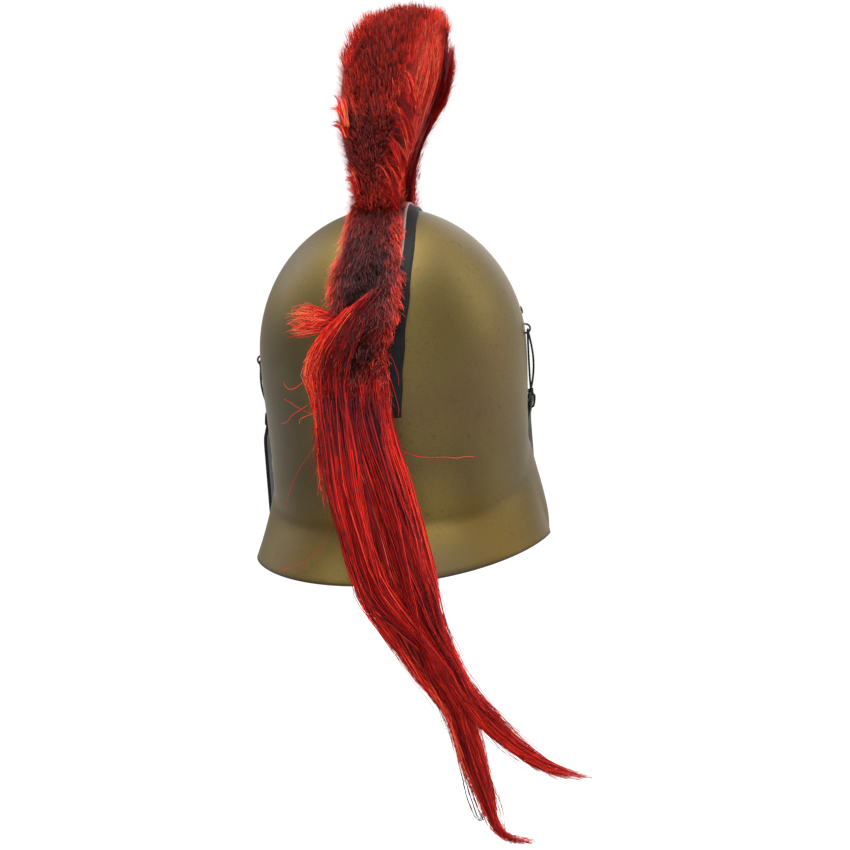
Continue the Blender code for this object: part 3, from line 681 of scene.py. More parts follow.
# Share of the way along the path at a drop down the back
def shareAt(drop):
    points, lengths = path
    for index in range(band["pathSteps"][0] + 1, len(points)):
        if shell["thickness"] - points[index].z >= drop:
            above = shell["thickness"] - points[index - 1].z
            below = shell["thickness"] - points[index].z
            part = (drop - above) / (below - above)
            return (lengths[index - 1] + (lengths[index] - lengths[index - 1]) * part) / lengths[-1]
    return 1.0


def shellLevel(point):
    drop = shell["thickness"] - point.z
    side, rear, front = wallAxes(shell, drop)
    crown = crownShare(shell, drop)
    y = point.y + shell["crownSetback"] * crown ** 2
    length = front if y > 0 else rear
    normal = Vector((point.x / side ** 2, y / length ** 2, crown / shell["domeHeight"]))
    return (point.x / side) ** 2 + (y / length) ** 2 + crown ** 2, normal.normalized()


def onShell(share, x, lift):
    middle, outward = pathPlace(share)
    start = middle + Vector((x, 0, 0))
    depth = findTurn(shell["halfWidth"] / 2, 0.0, 18,
                     lambda inward: shellLevel(start - outward * inward)[0] <= 1)[1]
    found = start - outward * depth
    return found + shellLevel(found)[1] * lift


# A point on the shell's back at x and a drop
def onBack(x, drop, lift):
    return onShell(shareAt(drop), x, lift)


def makeStrip(name, size, start, end, lift, finish):
    bm = bmesh.new()
    edges = bm.verts.layers.float.new("edge")
    grids, columns = [], size["columns"]
    for height in (lift, lift + size["thickness"]):
        grids.append([])
        for step in range(size["steps"] + 1):
            share = start + (end - start) * step / size["steps"]
            shift = readRows(size["line"], share, True)[0]
            row = []
            for column in range(columns + 1):
                across = shift + 2 * column / columns - 1
                row.append(bm.verts.new(onShell(share, across * size["halfWidth"], height)))
                row[-1][edges] = abs(across - shift)
            grids[-1].append(row)
    under, over = grids
    for grid in grids:
        for near, far in zip(grid, grid[1:]):
            for k in range(columns):
                bm.faces.new((near[k], near[k + 1], far[k + 1], far[k]))
    for low, high in zip(zip(under, under[1:]), zip(over, over[1:])):
        for k in (0, columns):
            bm.faces.new((low[0][k], low[1][k], high[1][k], high[0][k]))
    for row in (0, -1):
        for k in range(columns):
            bm.faces.new((under[row][k], under[row][k + 1], over[row][k + 1], over[row][k]))
    piece = addPiece(name, bm, finish)
    bevel(piece, size["edgeBevel"])
    return piece


# Hair that follows lock lines. A lock is a line of points with a spread and a tone at each

def makeHairTree():
    tree, bench, given = startTree("hair along locks", {
        "Hairs": "Int", "Points": "Int", "Root Radius": "Float", "Tip Radius": "Float",
        "Frizz": "Float", "Frizz Scale": "Float", "Shortest": "Float", "Latest Root": "Float",
        "Tone Spread": "Float", "Flat": "Bool", "Seed": "Int", "Material": "Material"})
    lines = bench.shape("MeshToCurve", "Curve", Mesh=given["Geometry"])
    count = bench.add("GeometryNodeAttributeDomainSize", {"component": "CURVE"}, {0: lines})["Spline Count"]
    roots = bench.shape("Points", Count=given["Hairs"])
    index = bench.shape("InputIndex", "Index")

    def chance(low, high, salt, kind="FLOAT"):
        outputs = {"FLOAT_VECTOR": 0, "FLOAT": 1}
        inputs = {"FLOAT_VECTOR": (0, 1), "FLOAT": (2, 3)}[kind]
        return bench.add("FunctionNodeRandomValue", {"data_type": kind}, {
            inputs[0]: low, inputs[1]: high, "ID": index, "Seed": given["Seed"] + salt})[outputs[kind]]

    def store(geometry, name, value, kind="FLOAT"):
        return bench.shape("StoreNamedAttribute", settings={"data_type": kind, "domain": "POINT"},
                           Geometry=geometry, Name=name, Value=value)

    lock = index.sum("MODULO", index, count)
    roots = store(roots, "lock", lock, "INT")
    direction = bench.vectors("NORMALIZE", chance((-1, -1, -1), (1, 1, 1), 1, "FLOAT_VECTOR"))
    throw = bench.scaled(direction, chance(0.0, 1.0, 2) ** 0.6)
    roots = store(roots, "throw", throw, "FLOAT_VECTOR")
    roots = store(roots, "firstWay", chance(0.0, given["Latest Root"], 3))
    roots = store(roots, "hairLength", chance(given["Shortest"], 1.0, 4))
    roots = store(roots, "tint", chance(-1.0, 1.0, 5))
    line = bench.shape("CurvePrimitiveLine", "Curve", End=(0, 0, 1))
    line = bench.shape("ResampleCurve", "Curve", Curve=line, Count=given["Points"])
    hairs = bench.shape("InstanceOnPoints", "Instances", Points=roots, Instance=line)
    hairs = bench.shape("RealizeInstances", Geometry=hairs)
    way = bench.shape("SplineParameter", "Factor")
    first, throw = bench.stored("firstWay"), bench.stored("throw", "FLOAT_VECTOR")
    place = smaller(first + way * bench.stored("hairLength") * (1.0 - first), 1.0)
    sample = bench.add("GeometryNodeSampleCurve", {"data_type": "FLOAT_VECTOR", "mode": "FACTOR"}, {
        "Curves": lines, "Value": bench.stored("look", "FLOAT_VECTOR"), "Factor": place,
        "Curve Index": bench.stored("lock", "INT")})
    look = bench.add("ShaderNodeSeparateXYZ", {}, {0: sample["Value"]})
    spot = bench.vectors("ADD", sample["Position"], bench.scaled(throw, look["X"]))
    frizz = bench.noise(bench.vectors("ADD", spot, bench.scaled(throw, 0.02)),
                        given["Frizz Scale"], 1, 0.5, "Color")
    wave = bench.scaled(bench.vectors("SUBTRACT", frizz, (0.5, 0.5, 0.5)), given["Frizz"] * way)
    hairs = bench.shape("SetPosition", Geometry=hairs, Position=bench.vectors("ADD", spot, wave))
    hairs = store(hairs, "tone", look["Y"] + bench.stored("tint") * given["Tone Spread"])
    hairs = store(hairs, "way", way)
    radius = given["Root Radius"] + (given["Tip Radius"] - given["Root Radius"]) * way ** 2
    hairs = bench.shape("SetCurveRadius", "Curve", Curve=hairs, Radius=radius)
    ribbon = bench.shape("CurvePrimitiveLine", "Curve", Start=(-1, 0, 0), End=(1, 0, 0))
    prism = bench.shape("CurvePrimitiveCircle", "Curve", Resolution=3, Radius=1.0)
    outline = bench.add("GeometryNodeSwitch", {"input_type": "GEOMETRY"}, {
        "Switch": given["Flat"], "False": prism, "True": ribbon})["Output"]
    mesh = bench.add("GeometryNodeCurveToMesh", {}, {
        "Curve": hairs, "Profile Curve": outline, "Scale": bench.shape("InputRadius", "Radius")})["Mesh"]
    smooth = bench.shape("SetShadeSmooth", Geometry=mesh)
    endTree(bench, smooth, given["Material"])
    return tree


hairDefaults = {
    "Points": 5, "Root Radius": 0.00024, "Tip Radius": 0.00007, "Frizz": 0.003, "Frizz Scale": 60.0,
    "Shortest": 0.7, "Latest Root": 0.15, "Tone Spread": 0.12, "Flat": True,
}


# A lock is a list of points from root to tip, each with its spread and tone
def growHair(name, locks, settings, finish, tree):
    locks = list(locks)
    bm = bmesh.new()
    looks = bm.verts.layers.float_vector.new("look")
    for lock in locks:
        last = None
        for point, spread, tone in lock:
            vert = bm.verts.new(point)
            vert[looks] = Vector((spread, tone, 0))
            if last:
                bm.edges.new((last, vert))
            last = vert
    piece = addPiece(name, bm, finish, closed=False, smooth=False)
    runTree(piece, tree, {
        **hairDefaults, **settings, "Hairs": settings["perLock"] * len(locks), "Material": finish})
    for old in ("lock", "throw", "firstWay", "hairLength", "tint", "look"):
        if old in piece.data.attributes:
            piece.data.attributes.remove(piece.data.attributes[old])
    print(name, len(locks), "locks,", len(piece.data.polygons), "faces")
    settle(piece, "red_hair")


# The upright crest

crest = {
    "hairHeight": 0.153, "inset": 0.007, "rootHalfWidth": 0.015, "roundness": 3.0,
    # share of the way along the path, height share, tilt forward in degrees
    "rows": ((0.040, 0.46, 56), (0.120, 0.68, 40), (0.200, 0.86, 26), (0.280, 0.97, 14),
             (0.360, 1.00, 5), (0.430, 0.97, -2), (0.490, 0.86, -9), (0.545, 0.62, -19)),
    # height, left edge, right edge
    "rear": ((-0.040, -0.022, 0.021), (-0.005, -0.018, 0.022), (0.030, -0.017, 0.028),
             (0.060, -0.022, 0.038), (0.092, -0.017, 0.043), (0.122, -0.015, 0.048),
             (0.134, -0.010, 0.050), (0.142, 0.003, 0.051), (0.158, 0.009, 0.053)),
    "middle": ((-0.020, -0.018, 0.014), (0.030, -0.023, 0.021), (0.070, -0.025, 0.036),
               (0.110, -0.021, 0.052), (0.135, -0.009, 0.056), (0.160, 0.010, 0.057)),
    "front": ((-0.020, -0.016, 0.005), (0.040, -0.018, 0.011), (0.070, -0.018, 0.030),
              (0.095, -0.016, 0.048), (0.125, -0.008, 0.051), (0.160, 0.006, 0.042)),
    "parting": 0.42, "partingDepth": 0.006,
    "steps": 30, "turns": 96, "stations": 200,
    "sideLocks": 1500, "pileLocks": 4700, "topLocks": 420, "streakLocks": 170,
    # of each 20 locks of the pile the first 4 are on the front, those up to 13 on the rear,
    # those up to 18 on the top's rear, and the others on the top's front
    "pileRound": 20, "pileFront": 4, "pileRear": 13, "pileTop": 18,
    "sideHair": {"perLock": 11, "Seed": 1, "Frizz": 0.005, "Root Radius": 0.00030, "Tone Spread": 0.2},
    "pileHair": {"perLock": 10, "Points": 3, "Seed": 2, "Frizz": 0.005, "Root Radius": 0.00036,
                 "Latest Root": 0.3, "Tone Spread": 0.22},
    "topHair": {"perLock": 19, "Points": 4, "Seed": 3, "Frizz": 0.004, "Tone Spread": 0.2},
    "streakHair": {"perLock": 12, "Points": 8, "Seed": 9, "Frizz": 0.006, "Tone Spread": 0.3},
    # bright tufts that curl out of the rear's right edge: heights of their roots
    "tufts": (0.004, 0.027, 0.050, 0.078), "tuftRise": 0.032, "tuftReach": 0.015,
    # tufts that stick out on the left: heights of their roots
    "spikes": (0.014, 0.064), "spikeRise": 0.022, "spikeReach": 0.010,
}
crestStations = smoothRows(crest["rows"], 6)
crestEdges = {part: smoothRows(crest[part], 4) for part in ("rear", "middle", "front")}


def crestStation(s):
    place = min(1.0, max(0.0, s)) * (len(crestStations) - 1)
    index = min(int(place), len(crestStations) - 2)
    one, two = crestStations[index], crestStations[index + 1]
    share, height, tilt = [a + (b - a) * (place - index) for a, b in zip(one, two)]
    tilt = radians(tilt)
    root = onShell(share, 0, 0.005)
    return root, Vector((0, sin(tilt), cos(tilt))), crest["hairHeight"] * height, share


stations = evenly(crest["stations"], crestStation)


# s runs from the front to the rear, t from root to tip, side from left to right
def crestSpot(s, t, side, inset=0.0):
    s = min(1.0, max(0.0, s))
    root, upward, height, share = stations[round(s * crest["stations"])]
    spot = root + upward * (height * t)
    rear, front = ease((s - 0.62) / 0.33), ease((0.42 - s) / 0.30)
    weights = {"rear": rear, "middle": 1 - rear - front, "front": front}
    left, right = 0.0, 0.0
    for part, weight in weights.items():
        if weight > 0:
            edges = readRows(crestEdges[part], spot.z)
            left, right = left + edges[0] * weight, right + edges[1] * weight
    right -= crest["partingDepth"] * hump(s, crest["parting"], 0.04) * ease((spot.z - 0.06) / 0.06)
    grown = max(ease(t / 0.35), rear)
    shift = readRows(hide["line"], share, True)[0] * hide["halfWidth"]
    half = crest["rootHalfWidth"] * (1 - grown) + (right - left) / 2 * grown - inset
    spot.x = shift * (1 - grown) + (left + right) / 2 * grown + half * side
    return spot


def crestRoom(s):
    return max(0.0, 1 - abs(2 * s - 1) ** crest["roundness"]) ** (1 / crest["roundness"])


# A turn round the crest's outline: 0 is the rear, a quarter turn the right side
def crestWrap(turn, t, inset=0.0):
    lengthwise, sideways = cos(turn), sin(turn)
    grade = 2 / crest["roundness"]
    s = 0.5 + 0.5 * copysign(abs(lengthwise) ** grade, lengthwise)
    side = copysign(abs(sideways) ** grade, sideways)
    return crestSpot(s * (1 - inset * 5) + inset * 2.5, t, side, inset)


def crestNormal(turn, t):
    along = crestWrap(turn, min(1.0, t + 0.04)) - crestWrap(turn, t - 0.04)
    around = crestWrap(turn + 0.1, t) - crestWrap(turn - 0.1, t)
    return around.cross(along).normalized()


# How far back the crest reaches at a height
def crestRear():
    rows = [crestSpot(1, step / 10, 0) for step in range(11)]
    rows += [crestSpot(1 - step / 60, 1, 0) for step in range(1, 31)]
    found = []
    for spot in rows:
        if not found or spot.z > found[-1][0] + 0.001:
            found.append((spot.z, spot.y))
    return found


rearLine = crestRear()


def rearSpot(x, z, out):
    left, right = readRows(crestEdges["rear"], z)
    across = (2 * x - left - right) / (right - left)
    return Vector((x, readRows(rearLine, z)[0] - out + 0.010 * min(1.5, across * across), z))


def makeCrestBody(finish):
    bm = bmesh.new()
    rings = []
    count = crest["turns"]
    for step in range(crest["steps"] + 1):
        t = 0.93 * step / crest["steps"]
        inset = crest["inset"] + 0.006 * ease((t - 0.80) / 0.13)
        rings.append([bm.verts.new(crestWrap(2 * pi * k / count, t, inset))
                      for k in range(count)])
    joinRings(bm, rings, capped=False)
    for ring in (rings[0], rings[-1]):
        for k in range(count // 2):
            corners = [ring[k], ring[k + 1], ring[(count - k - 1) % count], ring[(count - k) % count]]
            bm.faces.new(list(dict.fromkeys(corners)))
    settle(addPiece("crestBody", bm, finish), "red_hair", "crest_fur")


def crestSideLocks():
    for number in range(crest["sideLocks"]):
        sign = 1 if number % 2 else -1
        s = between(0.01, 0.97) if random.random() < 0.7 else between(0.0, 0.35)
        start = between(0.0, 0.86)
        length, lift = between(0.22, 0.50), between(0.0, 0.05)
        drift, curl = between(-0.035, 0.035), between(-0.012, 0.012)
        tone = 0.55 + between(-0.12, 0.12) + 0.07 * sin(s * 31 + sin(start * 4 + s * 9))
        # On the right side, painted light: a lighter band towards the rear and lighter hair low down;
        # painted shade darkens the parting
        if sign > 0:
            bright = ease((s - 0.55) / 0.2) * (1 - ease((s - 0.82) / 0.08))
            tone += 0.12 * (1 - ease(start / 0.3))
            tone += 0.20 * bright - 0.16 * hump(s, crest["parting"], 0.04)

        def rule(way):
            there = s + drift * way + curl * sin(way * 5)
            room = crestRoom(min(0.99, max(0.01, there)))
            point = crestSpot(there, min(1.0, start + length * way), sign * room)
            point.x += sign * (lift * length * way ** 1.5 * 0.16 - 0.003)
            return point, 0.0044 * (1 - 0.45 * way), tone - 0.14 * (1 - way)

        yield evenly(5, rule)


# Short hair whose tips face out of the rear, the front and the top
def crestPileLocks():
    for number in range(crest["pileLocks"]):
        order = number % crest["pileRound"]
        if order < crest["pileRear"]:
            turn, t = radians(between(-76, 76)), between(0.0, 0.96)
            if order < crest["pileFront"]:
                turn, t = turn + pi, max(t, 0.06)
            root, normal = crestWrap(turn, t, 0.005), crestNormal(turn, min(t, 0.95))
            flow = crestWrap(turn, min(1.0, t + 0.05), 0.005) - crestWrap(turn, t - 0.05, 0.005)
            flow.normalize()
            side = copysign(abs(sin(turn)) ** (2 / crest["roundness"]), sin(turn))
        else:
            s, side = between(0.42, 0.99), between(-1, 1)
            s = s if order < crest["pileTop"] else s * 0.7 - 0.27
            room = crestRoom(s)
            root = crestSpot(s, 0.945 - 0.05 * side * side, side * room * 0.94)
            flow = stations[int(s * crest["stations"])][1]
            ahead = crestSpot(s - 0.02, 0.955, side * room) - crestSpot(s + 0.01, 0.955, side * room)
            normal = Vector((1, 0, 0)).cross(ahead).normalized()
        edge = abs(side) ** 4
        lean = between(0.40, 0.85) * (1 - 0.35 * edge)
        if order >= crest["pileFront"]:
            flow = flow * (1 - 0.9 * (1 - ease((root.z + 0.010) / 0.025)))
        loose = Vector([random.gauss(0, 0.17) for _ in range(3)])
        direction = (flow * (1 - lean) + normal * lean + Vector((0.30 * side, 0, 0)) + loose).normalized()
        length = between(0.006, 0.010) * (1 + 0.35 * edge)
        # Painted light: hair at the crest's edges is lighter, as if lit from behind, and hair at the base is
        # lighter where the overhang would shade it
        tone = 0.48 + 0.24 * edge + 0.03 * ease((root.z - 0.10) / 0.05) + between(-0.05, 0.05)
        tone -= 0.06 * hump(root.z, 0.055, 0.025) * (1 - edge)
        tone += 0.26 * (1 - ease((root.z + 0.005) / 0.030))
        yield evenly(2, lambda way: (
            root + direction * (length * way) + flow * (0.002 * way * way), 0.0060, tone - 0.12 * (1 - way)))


def crestTopLocks():
    for number in range(crest["topLocks"]):
        s, side = between(0.02, 0.99), between(-0.96, 0.96)
        room, end = crestRoom(s), between(0.97, 1.0)
        tone = 0.58 + between(-0.14, 0.16)
        yield evenly(3, lambda way: (
            crestSpot(s, 0.82 + (end - 0.82) * way, side * room * (0.92 + 0.05 * way)),
            0.0046 * (1 - 0.2 * way), tone - 0.2 * (1 - way)))


# Combed hair up the right of the rear, with the tufts that curl out of both edges, all made bright with
# painted rim light
def crestStreakLocks():
    for number in range(crest["streakLocks"]):
        s = random.triangular(0.60, 0.87, 0.76)
        start, end = between(0.0, 0.6), between(0.80, 0.99)
        # Painted light: the streak's high tone stands in for rim light
        tone = 0.74 + between(-0.14, 0.12)

        def rule(way):
            there = s + 0.04 * sin(way * 3 + number)
            point = crestSpot(there, start + (end - start) * way, crestRoom(there))
            point.x += 0.001
            return point, 0.0036 * (1 - 0.3 * way), tone - 0.04 * (1 - way)

        yield evenly(8, rule)
    for kind, count, fade in (("tuft", 18, 0.26), ("spike", 13, 0.10)):
        for height in crest[kind + "s"]:
            for _ in range(count):
                z = height + random.gauss(0, 0.005)
                left, right = readRows(crestEdges["rear"], z)
                x = right + 0.005 * ease(z / 0.05) if kind == "tuft" else left + 0.012
                x -= between(0, 0.005)
                rise = crest[kind + "Rise"] * between(0.3, 1.1)
                reach = crest[kind + "Reach"] * between(0.4, 1.2)
                # Painted light: the tufts' high tone stands in for rim light
                out, tone = between(0.001, 0.006), 0.68 + between(-0.20, 0.14)
                yield evenly(7, lambda way: (
                    rearSpot(x - reach * way ** 1.9, z + rise * sin(way * 1.7),
                             out + 0.003 * sin(pi * way)),
                    0.0018 * (1 - 0.7 * way), tone - fade * way))


# The fur on the back of the bowl

backFur = {
    "depth": 0.013, "locks": 1700, "length": 0.012, "top": -0.002, "bottom": 0.160,
    # the dark body under the hair: steps down, steps across, share of the width, share of the height
    "bodySteps": 50, "bodyColumns": 24, "bodyWidth": 0.92, "bodyHeight": 0.74,
    "hair": {"perLock": 22, "Points": 3, "Seed": 4, "Frizz": 0.010, "Root Radius": 0.00030,
             "Tone Spread": 0.24},
    # drop, left edge, right edge
    "edges": ((-0.002, -0.015, 0.020), (0.020, -0.016, 0.020), (0.040, -0.019, 0.021),
              (0.058, -0.026, 0.021), (0.088, -0.027, 0.020), (0.105, -0.036, 0.015),
              (0.125, -0.044, 0.011), (0.145, -0.043, 0.009), (0.164, -0.038, 0.010)),
    # the fold, darkened with painted shade: x and drop from its upper end
    "fold": ((0.012, 0.050), (0.000, 0.066), (-0.018, 0.084)),
}
foldLine = smoothRows(backFur["fold"], 8)


def furX(drop, across):
    left, right = readRows(backFur["edges"], drop)
    return (left + right) / 2 + (right - left) / 2 * across


def furSpot(drop, across, lift):
    return onBack(furX(drop, across), drop, lift)


def foldGap(drop, across):
    x = furX(drop, across)
    return min(hypot(x - a, drop - b) for a, b in foldLine)


def furThickness(drop, across):
    crown = max(0.0, 1 - abs(across) ** 2.6) ** 0.5
    bulge, fold = 0.22 * hump(drop, 0.120, 0.024), 0.60 * hump(foldGap(drop, across), 0, 0.006)
    return 0.0035 + backFur["depth"] * crown * (0.85 + bulge - fold)


def makeFurBody(finish):
    bm = bmesh.new()
    columns = backFur["bodyColumns"]
    shares = [(2 * k / columns - 1) * backFur["bodyWidth"] for k in range(columns + 1)]
    rows = []
    for step in range(backFur["bodySteps"] + 1):
        drop = backFur["top"] + (backFur["bottom"] - 0.006) * step / backFur["bodySteps"]
        over = [furSpot(drop, x, furThickness(drop, x) * backFur["bodyHeight"]) for x in shares]
        under = [furSpot(drop, x, 0.0026) for x in reversed(shares)]
        rows.append([bm.verts.new(point) for point in over + under])
    joinRings(bm, rows)
    settle(addPiece("backFurBody", bm, finish), "red_hair")


def backFurLocks():
    for number in range(backFur["locks"]):
        drop, across = between(backFur["top"], backFur["bottom"] - 0.004), between(-1, 1)
        length = backFur["length"] * between(0.6, 1.1)
        lift = between(0.25, 0.70) * (1 + 1.2 * (1 - ease(drop / 0.016)))
        edge, low = abs(across) ** 3, ease((drop - 0.085) / 0.02)
        bottom = ease((drop - 0.130) / 0.02)
        fan = (0.12 * across + between(-0.20, 0.20)) * (1 - low) + low * between(-0.45, 0.15)
        down = between(0.5, 1.0) * (1 - 0.45 * low) + bottom
        tone = 0.38 + between(-0.06, 0.06) + 0.06 * bottom
        # Painted light: the fur's edges are lighter, the left more, as if lit from the left and behind
        tone += (0.36 if across < 0 else 0.28) * ease((abs(across) - 0.5) / 0.4)
        dark = hump(drop, 0.050, 0.040) + 0.7 * hump(drop, 0.114, 0.016)
        # Painted light lightens the top, where the crest would shade the pad
        tone += (0.14 * (1 - ease((drop - 0.003) / 0.012)) - 0.22 * dark) * (1 - edge)
        # Painted shade in the fold
        tone -= 0.24 * hump(foldGap(drop, across), 0, 0.009)
        base = furThickness(drop, across) * 0.72
        yield evenly(3, lambda way: (
            furSpot(min(0.1635, drop + length * down * way), across + fan * way,
                    base + lift * length * way * (1 - 0.25 * way)),
            0.0054 * (1 - 0.1 * way), tone - 0.14 * (1 - way)))


# The smooth hair that sweeps down to the left, and the side tuft

sweep = {
    # x, drop and lift off the bowl of the outer line, then of the inner line
    "rows": ((0.002, 0.073, 0.011, 0.016, 0.062, 0.012), (-0.019, 0.088, 0.016, 0.008, 0.076, 0.014),
             (-0.040, 0.109, 0.015, -0.007, 0.099, 0.015), (-0.048, 0.131, 0.014, -0.017, 0.126, 0.016),
             (-0.043, 0.152, 0.015, -0.017, 0.152, 0.019), (-0.040, 0.176, 0.018, -0.014, 0.176, 0.024),
             (-0.038, 0.205, 0.024, -0.010, 0.205, 0.030), (-0.035, 0.240, 0.029, -0.004, 0.240, 0.035)),
    "steps": 4, "locks": 200, "hangDrop": 0.164,
    "hair": {"perLock": 9, "Points": 7, "Seed": 5, "Latest Root": 0.3, "Frizz": 0.012,
             "Root Radius": 0.00030, "Tip Radius": 0.00012, "Flat": False, "Tone Spread": 0.26},
}
# hair that comes out of the fur and lies over the top of the tail: drop, lift off the bowl
bridge = {
    "lifts": ((0.112, 0.014), (0.135, 0.017), (0.152, 0.019), (0.176, 0.023), (0.205, 0.029),
              (0.250, 0.037)),
    "locks": 170, "starts": (0.090, 0.165), "ends": (0.175, 0.250),
    "hair": {"perLock": 14, "Points": 10, "Seed": 10, "Latest Root": 0.4, "Frizz": 0.024,
             "Tone Spread": 0.26},
}
tuft = {
    "root": (-0.022, 0.090), "lift": 0.009, "rise": 0.004, "locks": 60,
    "length": 0.039, "lowest": -12, "highest": 28,
    "hair": {"perLock": 9, "Seed": 6, "Frizz": 0.014, "Flat": False, "Tone Spread": 0.25,
             "Root Radius": 0.00022, "Tip Radius": 0.00004},
}


# A point off the bowl's back, or straight below where the hair leaves it
def hangOnBack(x, drop, lift):
    point = onBack(x, min(drop, sweep["hangDrop"]), lift)
    point.z -= max(0.0, drop - sweep["hangDrop"])
    return point


def sweepLocks():
    rows = smoothRows(sweep["rows"], sweep["steps"])
    for number in range(sweep["locks"]):
        across = random.random() ** 1.15
        first = random.choice((0, 1, 2, 3, 5, 7, 9))
        last = min(len(rows), first + random.randrange(12, 24))
        # Painted light: the outer edge is lighter, as if lit from the left
        tone = 0.82 - 0.42 * ease(across * 1.5) + between(-0.12, 0.08)
        drift, under = between(-0.12, 0.12), between(0.0, 0.003)
        lock = []
        for index in range(first, last):
            there = min(1.0, max(0.0, across + drift * sin((index - first) * 0.3)))
            outer, inner = rows[index][:3], rows[index][3:]
            x, drop, lift = (a + (b - a) * there for a, b in zip(outer, inner))
            shade = 0.06 * sin(number + index * 0.5) - 0.20 * ease((outer[1] - 0.138) / 0.035)
            lock.append((hangOnBack(x, drop, lift - under), 0.0022 + 0.0030 * there, tone + shade))
        yield lock


def bridgeLocks():
    for number in range(bridge["locks"]):
        across, bow = between(-0.9, 0.85), random.gauss(0, 0.004)
        start, end = between(*bridge["starts"]), between(*bridge["ends"])
        # Painted light: hair at the edges is lighter, as if lit from behind
        tone = 0.45 + between(-0.14, 0.16) + 0.14 * abs(across) ** 3
        under = between(0.0, 0.003) + 0.006 * abs(across) ** 3
        aside = between(-0.004, 0.020) * (0.8 - across) / 1.7

        def rule(way):
            drop = start + (end - start) * way
            middle, half = trunkPlace(drop)
            x = middle + half * across + bow * sin(way * 5) + aside * (1 - way) ** 2
            lift = readRows(bridge["lifts"], drop)[0] - under - 0.007 * (1 - way) ** 3
            return hangOnBack(x, drop, lift), 0.0040, tone - 0.20 * (1 - ease(way / 0.5))

        yield evenly(8, rule)


def tuftLocks():
    rootX, rootDrop = tuft["root"]
    for number in range(tuft["locks"]):
        angle = radians(between(tuft["lowest"], tuft["highest"]))
        length = tuft["length"] * between(0.40, 1.05)
        bend = between(-0.004, 0.007)
        yield evenly(5, lambda way: (
            onBack(rootX - cos(angle) * length * way,
                   rootDrop - sin(angle) * length * way - bend * sin(pi * way),
                   tuft["lift"] + tuft["rise"] * way),
            0.0020 + 0.0012 * way, 0.46 + 0.28 * way + 0.03 * (number % 5)))


# The tail

tail = {
    # x and drop of the middle, half width
    "trunk": ((-0.012, 0.112, 0.018), (-0.015, 0.132, 0.024), (-0.016, 0.155, 0.025),
              (-0.012, 0.190, 0.026), (-0.004, 0.230, 0.029), (0.013, 0.300, 0.028),
              (0.032, 0.352, 0.020), (0.054, 0.392, 0.015)),
    "right": ((0.078, 0.413, 0.006), (0.095, 0.431, 0.005), (0.129, 0.457, 0.004),
              (0.162, 0.463, 0.0005)),
    "left": ((0.056, 0.414, 0.009), (0.064, 0.446, 0.008), (0.073, 0.476, 0.005),
             (0.079, 0.496, 0.0015), (0.091, 0.508, 0.0005), (0.110, 0.507, 0.0005)),
    # the part of the trunk's width that runs into each end, where they start to part
    "shares": {"right": (0.59, 1.0), "left": (0.0, 0.61)}, "partFrom": 0.300, "partTo": 0.380,
    # drop, distance behind the middle
    "out": ((0.112, 0.131), (0.140, 0.134), (0.165, 0.140), (0.190, 0.145), (0.233, 0.150),
            (0.298, 0.157), (0.520, 0.157)),
    "depth": 0.008, "core": 0.74, "coreDepth": 0.55, "coreSides": 20,
    "locks": {"left": 56, "right": 40}, "steps": 3, "strays": 110,
    "hair": {"perLock": 50, "Points": 16, "Seed": 7, "Frizz": 0.015, "Frizz Scale": 30.0,
             "Latest Root": 0.3, "Shortest": 0.65, "Root Radius": 0.00028, "Tip Radius": 0.00012,
             "Tone Spread": 0.26},
    # the parting down its upper half, darkened with painted shade: share of the half width, and its breadth
    "partingAt": 0.24, "partingWidth": 0.07,
}


# Middle and half width of the tail at a drop
def trunkPlace(drop):
    return readRows([(down, x, half) for x, down, half in tail["trunk"]], drop)


# Sections of one end: x, drop, half width, and the direction across it
def tailSections(side):
    rows = []
    low, high = tail["shares"][side]
    for x, drop, half in tail["trunk"]:
        near = ease((drop - tail["partFrom"]) / (tail["partTo"] - tail["partFrom"]))
        start, end = low * near, 1 + (high - 1) * near
        rows.append((x + half * (start + end - 1), drop, half * (end - start)))
    rows = smoothRows([*rows, *tail[side]], tail["steps"])
    sections = []
    for index, (x, drop, half) in enumerate(rows):
        before, after = rows[max(0, index - 1)], rows[min(len(rows) - 1, index + 1)]
        length = hypot(after[0] - before[0], after[1] - before[1])
        sections.append((x, drop, half, (after[1] - before[1]) / length, (before[0] - after[0]) / length))
    return sections


def tailSpot(section, across, depth):
    x, drop, half, sideways, upward = section
    there = drop + half * across * upward
    fullness = sqrt(max(0.0, 1 - across * across))
    thickness = tail["depth"] * min(1.0, 0.15 + half / 0.02)
    y = depth * fullness * thickness - readRows(tail["out"], there)[0]
    return Vector((x + half * across * sideways, y, shell["thickness"] - there))


